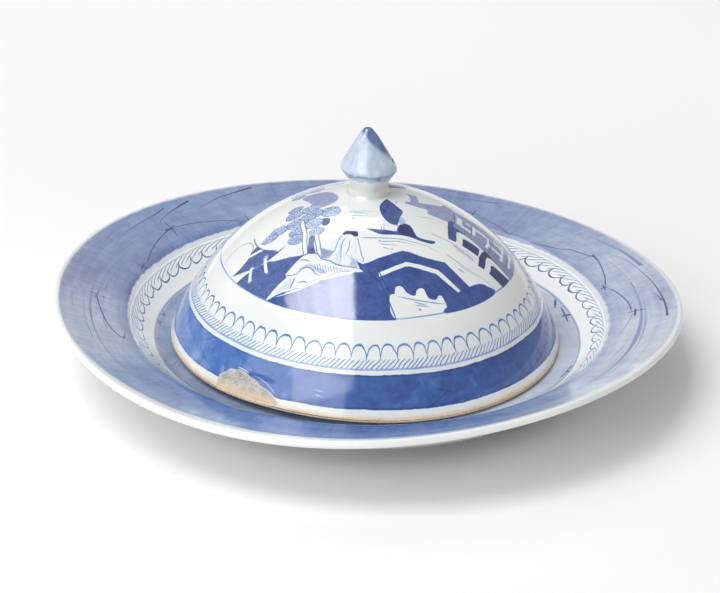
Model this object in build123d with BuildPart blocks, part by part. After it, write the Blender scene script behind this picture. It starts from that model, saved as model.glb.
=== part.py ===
from build123d import *
import os
from math import cos, radians, sin, sqrt, tan

os.makedirs("parts", exist_ok=True)

# A covered butter dish in thrown porcelain: a plate-like dish on a foot ring, a pierced drainer
# disc on its floor, and a domed cover with a luted bud knob that stands over the drainer.
# Origin: centre of the circle on which the foot ring stands. +Z is up. Millimetres.

# --- driving dimensions ---

# dish
LIP_RADIUS = 100.0
LIP_HEIGHT = 25.0
LIP_THICKNESS = 2.4
RIM_THICKNESS = 3.8
SHOULDER_RADIUS = 77.6
SHOULDER_HEIGHT = 18.9
FLOOR_HEIGHT = 9.4
FLOOR_CORNER_RADIUS = 66.6
FLOOR_THICKNESS = 4.6
CAVETTO_BEND = 9.5
SHOULDER_BEND = 8.0
UNDER_SHOULDER_OFFSET = 2.0
UNDER_CORNER_OFFSET = 2.5
UNDER_CORNER_RISE = 0.4
FOOT_ROOT_DROP = 0.6
FOOT_ROOT_BEND = 1.5
FOOT_RADIUS = 58.0
FOOT_WALL = 3.6
FOOT_OUTER_TAPER = 0.6
FOOT_INNER_TAPER = 1.2
FOOT_EDGE = 0.8

# cover
DOME_SPHERE_RADIUS = 75.5
DOME_CENTRE_OFFSET = -8.7
DOME_CENTRE_HEIGHT = -15.35
DOME_MIDDLE_SHARE = 0.75
COVER_WALL = 4.0
COVER_RIM_EDGE = 0.7
KNOB_SEAT_RADIUS = 7.6

# knob
KNOB_HEIGHT = 21.6
KNOB_FOOT_RADIUS = 6.8
KNOB_NECK_RADIUS = 5.8
KNOB_NECK_RISE = 4.0
KNOB_NECK_BEND = 4.0
KNOB_SHOULDER_RISE = 8.6
KNOB_SHOULDER_BEND = 1.6
KNOB_CONE_ANGLE = 31.5
KNOB_TIP_BEND = 1.6
KNOB_WALL = 2.6
KNOB_HOLLOW_RISE = 4.4
KNOB_HOLLOW_BEND = 1.0
VENT_RADIUS = 0.7
VENT_RISE = 11.4
VENT_AZIMUTH = -12.0

# drainer
DRAINER_RADIUS = 50.0
DRAINER_THICKNESS = 3.2
DRAINER_FOOT_HEIGHT = 2.8
DRAINER_FOOT_RADIUS = 45.0
DRAINER_FOOT_WIDTH = 3.0
DRAINER_EDGE = 1.0
FINGER_HOLE_RADIUS = 6.0
DRAIN_HOLE_RADIUS = 2.0
DRAIN_RINGS = ((15.0, 8), (25.5, 14), (36.0, 20))

# --- derived dimensions ---

LIP_CREST_RADIUS = LIP_RADIUS - LIP_THICKNESS / 2
UNDER_SHOULDER_RADIUS = SHOULDER_RADIUS + UNDER_SHOULDER_OFFSET
UNDER_CORNER_RADIUS = FLOOR_CORNER_RADIUS + UNDER_CORNER_OFFSET
FOOT_INNER_RADIUS = FOOT_RADIUS - FOOT_WALL
UNDERSIDE_HEIGHT = FLOOR_HEIGHT - FLOOR_THICKNESS
KNOB_SEAT_HEIGHT = DOME_CENTRE_HEIGHT + sqrt(
    DOME_SPHERE_RADIUS**2 - (KNOB_SEAT_RADIUS - DOME_CENTRE_OFFSET) ** 2
)


def dome_radius(sphere_radius, height):
    """Radius of the dome's surface at a height, for one of its two arcs."""
    rise = height - DOME_CENTRE_HEIGHT
    return DOME_CENTRE_OFFSET + sqrt(sphere_radius**2 - rise**2)


def dome_height(sphere_radius, radius):
    """Height of the dome's surface at a radius, for one of its two arcs."""
    run = radius - DOME_CENTRE_OFFSET
    return DOME_CENTRE_HEIGHT + sqrt(sphere_radius**2 - run**2)


# --- dish: flat floor, curved cavetto, broad sloping rim and a turned foot ring ---

with BuildPart() as dish:
    with BuildSketch(Plane.XZ):
        with BuildLine():
            top = FilletPolyline(
                (0, FLOOR_HEIGHT),
                (FLOOR_CORNER_RADIUS, FLOOR_HEIGHT),
                (SHOULDER_RADIUS, SHOULDER_HEIGHT),
                (LIP_CREST_RADIUS, LIP_HEIGHT),
                radius=(CAVETTO_BEND, SHOULDER_BEND),
            )
            bottom = FilletPolyline(
                (LIP_CREST_RADIUS, LIP_HEIGHT - LIP_THICKNESS),
                (UNDER_SHOULDER_RADIUS, SHOULDER_HEIGHT - RIM_THICKNESS),
                (UNDER_CORNER_RADIUS, UNDERSIDE_HEIGHT + UNDER_CORNER_RISE),
                (FOOT_RADIUS + FOOT_OUTER_TAPER, UNDERSIDE_HEIGHT - FOOT_ROOT_DROP),
                (FOOT_RADIUS, 0),
                (FOOT_INNER_RADIUS, 0),
                (FOOT_INNER_RADIUS - FOOT_INNER_TAPER, UNDERSIDE_HEIGHT),
                (0, UNDERSIDE_HEIGHT),
                radius=(
                    SHOULDER_BEND,
                    CAVETTO_BEND,
                    FOOT_ROOT_BEND,
                    FOOT_EDGE,
                    FOOT_EDGE,
                    FOOT_ROOT_BEND,
                ),
            )
            ThreePointArc(
                (LIP_CREST_RADIUS, LIP_HEIGHT),
                (LIP_RADIUS, LIP_HEIGHT - LIP_THICKNESS / 2),
                (LIP_CREST_RADIUS, LIP_HEIGHT - LIP_THICKNESS),
            )
            Line((0, UNDERSIDE_HEIGHT), (0, FLOOR_HEIGHT))
        make_face()
    revolve(axis=Axis.Z)
dish.part.label = "dish"

# --- drainer: a disc on a low foot ring, with a finger hole and three rings of drain holes ---

drainer_top = FLOOR_HEIGHT + DRAINER_FOOT_HEIGHT + DRAINER_THICKNESS

with BuildPart() as drainer:
    with BuildSketch(Plane.XY.offset(drainer_top)):
        Circle(DRAINER_RADIUS)
    extrude(amount=-DRAINER_THICKNESS)
    fillet(drainer.edges(), DRAINER_EDGE)
    with BuildSketch(Plane.XY.offset(drainer_top - DRAINER_THICKNESS)):
        Circle(DRAINER_FOOT_RADIUS)
        Circle(DRAINER_FOOT_RADIUS - DRAINER_FOOT_WIDTH, mode=Mode.SUBTRACT)
    extrude(amount=-DRAINER_FOOT_HEIGHT)
    with BuildSketch(Plane.XY.offset(drainer_top)):
        Circle(FINGER_HOLE_RADIUS)
        for ring_radius, hole_count in DRAIN_RINGS:
            with PolarLocations(ring_radius, hole_count):
                Circle(DRAIN_HOLE_RADIUS)
    extrude(amount=-DRAINER_THICKNESS, mode=Mode.SUBTRACT)
drainer.part.label = "drainer"

# --- cover: a domed shell on a flat unglazed rim, with a flat seat for the knob ---

outer_rim_radius = dome_radius(DOME_SPHERE_RADIUS, FLOOR_HEIGHT)
inner_sphere_radius = DOME_SPHERE_RADIUS - COVER_WALL
inner_rim_radius = dome_radius(inner_sphere_radius, FLOOR_HEIGHT)
outer_middle = DOME_MIDDLE_SHARE * outer_rim_radius
inner_middle = DOME_MIDDLE_SHARE * inner_rim_radius

with BuildPart() as cover:
    with BuildSketch(Plane.XZ):
        with BuildLine():
            ThreePointArc(
                (outer_rim_radius, FLOOR_HEIGHT),
                (outer_middle, dome_height(DOME_SPHERE_RADIUS, outer_middle)),
                (KNOB_SEAT_RADIUS, KNOB_SEAT_HEIGHT),
            )
            Polyline(
                (KNOB_SEAT_RADIUS, KNOB_SEAT_HEIGHT),
                (0, KNOB_SEAT_HEIGHT),
                (0, dome_height(inner_sphere_radius, 0)),
            )
            ThreePointArc(
                (0, dome_height(inner_sphere_radius, 0)),
                (inner_middle, dome_height(inner_sphere_radius, inner_middle)),
                (inner_rim_radius, FLOOR_HEIGHT),
            )
            Line((inner_rim_radius, FLOOR_HEIGHT), (outer_rim_radius, FLOOR_HEIGHT))
        make_face()
    revolve(axis=Axis.Z)
    rim_face = cover.faces().filter_by(Plane.XY).sort_by(Axis.Z)[0]
    fillet(rim_face.edges(), COVER_RIM_EDGE)
cover.part.label = "cover"

# --- knob: a hollow bud on a waisted neck, luted to the crown, with one firing vent ---

cone_angle = radians(KNOB_CONE_ANGLE)
tip_height = KNOB_SEAT_HEIGHT + KNOB_HEIGHT
apex_height = tip_height + KNOB_TIP_BEND * (1 / sin(cone_angle) - 1)
shoulder_height = KNOB_SEAT_HEIGHT + KNOB_SHOULDER_RISE
shoulder_radius = (apex_height - shoulder_height) * tan(cone_angle)
tip_start = (
    KNOB_TIP_BEND * cos(cone_angle),
    tip_height - KNOB_TIP_BEND * (1 - sin(cone_angle)),
)
hollow_floor = KNOB_SEAT_HEIGHT + KNOB_HOLLOW_RISE
hollow_peak = apex_height - KNOB_WALL / sin(cone_angle)
hollow_radius = (hollow_peak - shoulder_height) * tan(cone_angle)
vent_height = KNOB_SEAT_HEIGHT + VENT_RISE
vent_direction = (cos(radians(VENT_AZIMUTH)), sin(radians(VENT_AZIMUTH)), 0)

with BuildPart() as knob:
    with BuildSketch(Plane.XZ):
        with BuildLine():
            FilletPolyline(
                (KNOB_FOOT_RADIUS, KNOB_SEAT_HEIGHT),
                (KNOB_NECK_RADIUS, KNOB_SEAT_HEIGHT + KNOB_NECK_RISE),
                (shoulder_radius, shoulder_height),
                tip_start,
                radius=(KNOB_NECK_BEND, KNOB_SHOULDER_BEND),
            )
            JernArc(
                start=tip_start,
                tangent=(-sin(cone_angle), cos(cone_angle)),
                radius=KNOB_TIP_BEND,
                arc_size=90 - KNOB_CONE_ANGLE,
            )
            Polyline(
                (0, tip_height),
                (0, KNOB_SEAT_HEIGHT),
                (KNOB_FOOT_RADIUS, KNOB_SEAT_HEIGHT),
            )
        make_face()
    revolve(axis=Axis.Z)
    with BuildSketch(Plane.XZ):
        with BuildLine():
            FilletPolyline(
                (0, hollow_floor),
                (KNOB_NECK_RADIUS - KNOB_WALL, hollow_floor),
                (hollow_radius, shoulder_height),
                (0, hollow_peak),
                radius=(KNOB_HOLLOW_BEND, KNOB_HOLLOW_BEND),
            )
            Line((0, hollow_peak), (0, hollow_floor))
        make_face()
    revolve(axis=Axis.Z, mode=Mode.SUBTRACT)
    with BuildSketch(Plane((0, 0, vent_height), z_dir=vent_direction)):
        Circle(VENT_RADIUS)
    extrude(amount=2 * shoulder_radius, mode=Mode.SUBTRACT)
knob.part.label = "knob"

export_step(dish.part, "parts/dish.step")
export_step(drainer.part, "parts/drainer.step")
export_step(cover.part, "parts/cover.step")
export_step(knob.part, "parts/knob.step")
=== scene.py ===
from math import atan2, cos, degrees, hypot, pi, radians, sin, sqrt

import bpy
import numpy as np
from mathutils import Matrix, Vector
from mathutils.geometry import delaunay_2d_cdt


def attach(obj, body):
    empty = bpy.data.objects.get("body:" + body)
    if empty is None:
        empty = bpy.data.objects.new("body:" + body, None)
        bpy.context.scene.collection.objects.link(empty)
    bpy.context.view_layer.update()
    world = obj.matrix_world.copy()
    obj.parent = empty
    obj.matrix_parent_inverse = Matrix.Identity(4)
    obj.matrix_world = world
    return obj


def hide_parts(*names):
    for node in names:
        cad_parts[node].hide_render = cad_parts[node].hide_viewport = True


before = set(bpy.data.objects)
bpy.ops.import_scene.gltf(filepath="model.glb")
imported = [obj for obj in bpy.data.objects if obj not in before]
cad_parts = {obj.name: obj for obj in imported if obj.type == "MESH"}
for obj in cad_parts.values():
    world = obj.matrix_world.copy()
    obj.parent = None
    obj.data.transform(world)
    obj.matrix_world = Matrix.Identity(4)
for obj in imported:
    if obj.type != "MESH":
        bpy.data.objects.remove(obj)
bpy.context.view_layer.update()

# Blue-and-white covered butter dish. Working lengths are millimetres and are scaled once, at MM.
# The cover, the dish and the knob are surfaces of revolution, painted on their flat plan: a point
# at angle phi and at distance s along the profile lies at (s cos phi, s sin phi), so no seam
# crosses the painting. The drainer is a pierced disc.
MM = 0.001
DOME_SPHERE = 75.5
DOME_OFFSET = -8.7
DOME_CENTRE = -15.35
COVER_WALL = 4.0
FLOOR_TOP = 9.4


# --- profiles ---


def rounded(points, radii, step=0.6):
    """A polyline with its inner corners rounded to the given radii, as dense (r, z) points."""
    points = [np.array(p, float) for p in points]
    out = [points[0]]
    for before, corner, after, radius in zip(points, points[1:], points[2:], radii):
        a = (before - corner) / np.linalg.norm(before - corner)
        b = (after - corner) / np.linalg.norm(after - corner)
        half = np.arccos(np.clip(a @ b, -1, 1)) / 2
        if radius <= 0 or abs(half - pi / 2) < 1e-3:
            out.append(corner)
            continue
        centre = corner + (a + b) / np.linalg.norm(a + b) * radius / np.sin(half)
        first = corner + a * radius / np.tan(half) - centre
        last = corner + b * radius / np.tan(half) - centre
        count = max(3, int(radius * (pi - 2 * half) / step) + 2)
        for f in np.linspace(0, 1, count):
            w = (1 - f) * first + f * last
            out.append(centre + w / np.linalg.norm(w) * radius)
    out.append(points[-1])
    return np.array(out)


def densified(points, step=0.5):
    """The same polyline with points no further apart than step."""
    out = [points[0]]
    for a, b in zip(points, points[1:]):
        count = max(1, int(np.ceil(np.linalg.norm(b - a) / step)))
        out += [a + (b - a) * k / count for k in range(1, count + 1)]
    return np.array(out)


class Profile:
    """A half section from the axis on top to the axis underneath, looked up by its length."""

    def __init__(self, points, by_radius_to=None):
        points = densified(np.array(points, float))
        steps = np.linalg.norm(np.diff(points, axis=0), axis=1)
        self.t = np.concatenate([[0], np.cumsum(steps)])
        if by_radius_to:
            # the plan keeps true radii on a flat piece, as far as this radius
            k = int(np.argmax(points[:, 0] >= by_radius_to))
            self.t = np.concatenate([points[:k, 0], points[k, 0] + self.t[k:] - self.t[k]])
        self.r, self.z = points[:, 0], points[:, 1]
        self.length = self.t[-1]

    def __call__(self, t):
        return np.interp(t, self.t, self.r), np.interp(t, self.t, self.z)


def smooth_step(x, low, high):
    """0 below low, 1 above high, smooth between."""
    f = np.clip((x - low) / (high - low), 0, 1)
    return f * f * (3 - 2 * f)


def ripple(phi, seed, orders, size):
    """A slow closed wobble round the wheel's axis."""
    rng = np.random.default_rng(seed)
    out = np.zeros_like(phi)
    for k in orders:
        out = out + rng.normal() * np.cos(k * phi + rng.uniform(0, 2 * pi)) / k**0.7
    return size * out / len(orders) ** 0.5


# --- painting ---


def ink(density=0.0, violet=0.0, dark=0.0, hatch=0.0):
    """A tone: strength of the blue, its lean to violet, ink over it, and needles or scratches."""
    return density, violet, dark, hatch


CLEAR = ink()
HILL = ink(0.83, 0.25)
DEEP = ink(0.95, 0.2, 0.05)
SAIL = ink(0.8, 0.65)
FAR_HILL = ink(0.75, 0.6)
LAVENDER = ink(0.46, 0.8, 0.06)
GREY = ink(0.53, 1.0, 0.08)
PALE = ink(0.3, 0.25)
FAINT = ink(0.18, 0.3)
LEAF = ink(0.29, 0.12, 0.05, 0.6)
LEAF_LINE = ink(0.66, 0.35, 0.4)
LINE = ink(0.78, 0.25)
SOFT_LINE = ink(0.58, 0.2)
DARK_LINE = ink(0.9, 0.3, 0.45)
SCRATCH = ink(hatch=1.0)


def polar(phi, s):
    """Plan points from angles in degrees and distances along the profile."""
    return np.stack([s * np.cos(np.radians(phi)), s * np.sin(np.radians(phi))], -1)


def through(points, smooth, closed, step=1.2):
    """Points (phi, s) joined by straight runs or by a smooth curve, as dense plan points."""
    p = np.array(points, float)
    n = len(p)
    out = []
    spans = n if closed else n - 1
    for i in range(spans):
        a, b = p[i], p[(i + 1) % n]
        before = p[i - 1] if closed or i else a
        after = p[(i + 2) % n] if closed or i + 2 < n else b
        run = np.linalg.norm(polar(*b) - polar(*a))
        count = max(1, int(np.ceil(run / step)))
        for k in range(count):
            f = k / count
            if smooth:
                q = 0.5 * (
                    2 * a
                    + (b - before) * f
                    + (2 * before - 5 * a + 4 * b - after) * f**2
                    + (3 * a - before - 3 * b + after) * f**3
                )
            else:
                q = a + (b - a) * f
            out.append(q)
    if not closed:
        out.append(p[-1])
    out = np.array(out)
    return polar(out[:, 0], out[:, 1])


def sideways(path, closed):
    """Unit vectors to the left of a path at its points."""
    if closed:
        ahead = np.roll(path, -1, 0) - np.roll(path, 1, 0)
    else:
        ahead = np.gradient(path, axis=0)
    ahead /= np.maximum(np.linalg.norm(ahead, axis=1, keepdims=True), 1e-9)
    return np.stack([-ahead[:, 1], ahead[:, 0]], -1)


def to_segments(points, path, closed):
    """Distance from each point to a path, and how far along the path that is, from 0 to 1."""
    a = path
    b = np.roll(path, -1, 0) if closed else path[1:]
    a = a if closed else path[:-1]
    along = b - a
    size = np.maximum((along**2).sum(1), 1e-12)
    rel = points[:, None, :] - a[None]
    f = np.clip((rel * along[None]).sum(2) / size, 0, 1)
    gap = np.linalg.norm(rel - f[..., None] * along[None], axis=2)
    nearest = gap.argmin(1)
    rows = np.arange(len(points))
    return gap[rows, nearest], (nearest + f[rows, nearest]) / len(a)


def inside(points, path):
    """Whether each point lies inside a closed path."""
    x, y = points[:, 0][:, None], points[:, 1][:, None]
    x0, y0 = path[:, 0][None], path[:, 1][None]
    x1, y1 = np.roll(path[:, 0], -1)[None], np.roll(path[:, 1], -1)[None]
    crosses = (y0 > y) != (y1 > y)
    at = x0 + (y - y0) * (x1 - x0) / np.where(y1 == y0, 1e-12, y1 - y0)
    return (crosses & (x < at)).sum(1) % 2 == 1


class Canvas:
    """Shapes laid one over another on the plan of a piece. The mesh takes their edges."""

    def __init__(self):
        self.shapes = []
        self.turn = 0.0
        self.flip = 1

    def place(self, points):
        """Points as they lie after the canvas was turned or flipped."""
        return [(self.turn + self.flip * phi, s) for phi, s in points]

    def patch(self, points, tone, smooth=False, edge=0.22, bare=0.0):
        """A filled shape that fades over the width of its edge. Bare is its share of bare clay."""
        path = through(self.place(points), smooth, True)
        self.shapes.append(("patch", path, tone, edge, None, bare))

    def stroke(self, points, width, tone, smooth=True, ends=(0.5, 0.5), cover=1.0, step=1.2):
        """A brush stroke. Ends give the share of the width left at its start and finish."""
        path = through(self.place(points), smooth, False, step)
        t = np.linspace(0, 1, len(path))
        swell = np.minimum(1, np.minimum(ends[0] + 5 * t, ends[1] + 5 * (1 - t)))
        if ends[1] < 0.25:
            swell = np.minimum(swell, ends[1] + (1 - ends[1]) * (1 - t) ** 0.8)
        if ends[0] < 0.25:
            swell = np.minimum(swell, ends[0] + (1 - ends[0]) * t**0.8)
        # a brushed line fades at both edges, so a thin one is laid wider than it reads
        half = max(width / 2, min(0.74 * width, width / 2 + 0.1))
        self.shapes.append(("stroke", path, tone, half, swell, cover))

    def chains(self):
        """The lines that the mesh has to follow, each with whether it is closed."""
        for kind, path, tone, size, swell, extra in self.shapes:
            left = sideways(path, kind == "patch")
            if kind == "patch":
                yield path + left * size / 2, True
                yield path - left * size / 2, True
            else:
                half = (size * swell)[:, None]
                yield path, False
                yield path + left * half, False
                yield path - left * half, False
                if size > 0.42:
                    yield path + left * (half - 0.3 * swell[:, None]), False
                    yield path - left * (half - 0.3 * swell[:, None]), False

    def values(self, points):
        """Painted channels and bare clay at plan points."""
        out = np.zeros((len(points), 4))
        bare = np.zeros(len(points))
        for kind, path, tone, size, swell, extra in self.shapes:
            reach = size + 0.3
            low, high = path.min(0) - reach, path.max(0) + reach
            near = np.where(((points >= low) & (points <= high)).all(1))[0]
            if not len(near):
                continue
            p = points[near]
            gap, along = to_segments(p, path, kind == "patch")
            if kind == "patch":
                signed = np.where(inside(p, path), gap, -gap)
                amount = np.clip(0.5 + signed / size, 0, 1)
                bare[near] = bare[near] * (1 - amount) + extra * amount
            else:
                half = size * np.interp(along, np.linspace(0, 1, len(swell)), swell)
                amount = np.clip((half - gap) / np.minimum(half, 0.3) + 1e-6, 0, 1) * extra
                amount[gap > half + 1e-4] = 0
            out[near] = out[near] * (1 - amount[:, None]) + np.array(tone) * amount[:, None]
        return out, bare


# --- meshes ---


def triangulated(points, edges):
    """Flat points, triangles that keep the edges, and the new number of each point given."""
    got = delaunay_2d_cdt([Vector(p) for p in points], edges, [], 0, 1e-4, True)
    flat = np.array([(v.x, v.y) for v in got[0]])
    faces = np.array([f for f in got[2] if len(f) == 3])
    a, b, c = (flat[faces[:, k]] for k in range(3))
    area = (b[:, 0] - a[:, 0]) * (c[:, 1] - a[:, 1]) - (b[:, 1] - a[:, 1]) * (c[:, 0] - a[:, 0])
    faces[area < 0] = faces[area < 0][:, ::-1]
    found = {given: k for k, originals in enumerate(got[3]) for given in originals}
    return flat, faces, found


def circle(radius, count, shift=0.0):
    """Evenly spaced (x, y) points round the axis."""
    phi = 2 * pi * (np.arange(count) + shift) / count
    return np.stack([radius * np.cos(phi), radius * np.sin(phi)], -1)


def band(above, below):
    """Quads between two rings with the same number of points."""
    turned = list(above[1:]) + [above[0]], list(below[1:]) + [below[0]]
    return [(a, b, d, c) for a, b, c, d in zip(above, below, *turned)]


def shown(name, data):
    """A new object in the scene."""
    obj = bpy.data.objects.new(name, data)
    bpy.context.scene.collection.objects.link(obj)
    return obj


class Surface:
    """A thrown piece: its painted face is triangulated round the brush strokes, and the rest of
    its profile follows in rings down to the axis underneath."""

    def __init__(self, name, place, canvas, face_end, end, face_step, columns, start=0.0, bed=None):
        self.name = name
        self.place = place
        self.canvas = canvas
        ring = [(face_end, columns, 0.0)]
        t = face_end - face_step
        k = 0
        while t > max(start, face_step * 0.7):
            step = face_step if bed is None else bed(t)
            ring.append((t, max(8, int(2 * pi * t / step)), 0.5 * (k % 2)))
            t -= step
            k += 1
        if start:
            ring.append((start, 48, 0.0))
        points, edges = [], []
        for t, count, shift in ring:
            points += [tuple(p) for p in circle(t, count, shift)]
        if not start:
            points.append((0.0, 0.0))
        edges += [(i, (i + 1) % columns) for i in range(columns)]
        for path, closed in canvas.chains():
            first = len(points)
            limit = face_end - 0.05
            size = np.linalg.norm(path, axis=1, keepdims=True)
            path = path * np.minimum(1, limit / np.maximum(size, 1e-9))
            points += [tuple(p) for p in path]
            last = len(path) - 1
            edges += [(first + i, first + i + 1) for i in range(last)]
            if closed:
                edges.append((first + last, first))
        flat, faces, found = triangulated(points, edges)
        if start:
            middle = flat[faces].mean(1)
            faces = faces[np.linalg.norm(middle, axis=1) > start * 0.999]
        self.flat = flat
        self.faces = [tuple(f) for f in faces]
        self.face_count = len(self.faces)
        self.face_end = face_end
        self.end = end
        self.columns = columns
        self.ring = [found[i] for i in range(columns)]
        self.paint, self.bare = canvas.values(flat)

    def rows(self, places):
        """Rings beyond the painted face, at the given distances along the profile."""
        flat, faces = [self.flat], self.faces
        total = len(self.flat)
        above = self.ring
        for t in places:
            flat.append(circle(t, self.columns))
            below = list(range(total, total + self.columns))
            total += self.columns
            faces += band(above, below)
            above = below
        self.flat = np.concatenate(flat)
        extra = len(self.flat) - len(self.paint)
        self.paint = np.concatenate([self.paint, np.zeros((extra, 4))])
        self.bare = np.concatenate([self.bare, np.zeros(extra)])
        return self

    def close(self):
        """A last point on the axis."""
        middle = len(self.flat)
        last = [middle - self.columns + i for i in range(self.columns)]
        self.flat = np.concatenate([self.flat, [[self.end, 0.0]]])
        self.paint = np.concatenate([self.paint, np.zeros((1, 4))])
        self.bare = np.append(self.bare, 0)
        for i in range(self.columns):
            self.faces.append((last[i], middle, last[(i + 1) % self.columns]))
        return self

    def build(self, material):
        """The finished object, with normals taken from the true surface."""
        at = self.place(self.flat)
        nudge = 0.02
        dx = self.place(self.flat + [nudge, 0]) - self.place(self.flat - [nudge, 0])
        dy = self.place(self.flat + [0, nudge]) - self.place(self.flat - [0, nudge])
        normal = np.cross(dx, dy)
        normal /= np.maximum(np.linalg.norm(normal, axis=1, keepdims=True), 1e-12)
        weak = np.linalg.norm(normal, axis=1) < 0.5
        normal[weak] = (0, 0, -1)
        mesh = bpy.data.meshes.new(self.name)
        mesh.from_pydata([tuple(p) for p in at * MM], [], self.faces)
        mesh.update()
        mesh.shade_smooth()
        size = np.linalg.norm(self.flat, axis=1)
        zone = (size > self.face_end + 0.01).astype(float)
        plan = mesh.attributes.new("plan", "FLOAT_VECTOR", "POINT")
        plan.data.foreach_set("vector", np.column_stack([self.flat, zone]).astype(np.float32).ravel())
        paint = mesh.attributes.new("paint", "FLOAT_COLOR", "POINT")
        paint.data.foreach_set("color", self.paint.astype(np.float32).ravel())
        bare = mesh.attributes.new("bare", "FLOAT", "POINT")
        bare.data.foreach_set("value", self.bare.astype(np.float32))
        # one flat disc on the sheet for the painted face, and a smaller one for the rest
        layer = mesh.uv_layers.new(name="OFBake")
        corner = np.zeros(len(mesh.loops), int)
        mesh.loops.foreach_get("vertex_index", corner)
        face_of = np.zeros(len(mesh.loops), int)
        for poly in mesh.polygons:
            face_of[poly.loop_start : poly.loop_start + poly.loop_total] = poly.index
        flat = self.flat[corner]
        length = np.maximum(np.linalg.norm(flat, axis=1, keepdims=True), 1e-9)
        big = 0.4 + flat / self.face_end * 0.395
        rest = np.clip((self.end - length) / (self.end - self.face_end), 0, 1)
        small = 0.81 + flat / length * rest * 0.18
        uv = np.where((face_of < self.face_count)[:, None], big, small)
        layer.data.foreach_set("uv", uv.astype(np.float32).ravel())
        mesh.materials.append(material)
        mesh.normals_split_custom_set_from_vertices([tuple(n) for n in normal])
        return shown(self.name, mesh)


# --- node graphs ---


def linear(*rgb):
    """A colour given as the eye reads it, 0 to 255, turned to the light values of the shader."""
    out = [((c / 255 + 0.055) / 1.055) ** 2.4 if c > 10 else c / 255 / 12.92 for c in rgb]
    return (*out, 1.0)


class Value:
    """The output of a node. Sums, differences and products of values are new nodes."""

    def __init__(self, graph, socket):
        self.graph = graph
        self.socket = socket

    def __add__(self, other):
        return self.graph.math("ADD", self, other)

    def __radd__(self, other):
        return self.graph.math("ADD", other, self)

    def __sub__(self, other):
        return self.graph.math("SUBTRACT", self, other)

    def __rsub__(self, other):
        return self.graph.math("SUBTRACT", other, self)

    def __mul__(self, other):
        return self.graph.math("MULTIPLY", self, other)

    def __rmul__(self, other):
        return self.graph.math("MULTIPLY", other, self)

    def __abs__(self):
        return self.graph.math("ABSOLUTE", self)


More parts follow.
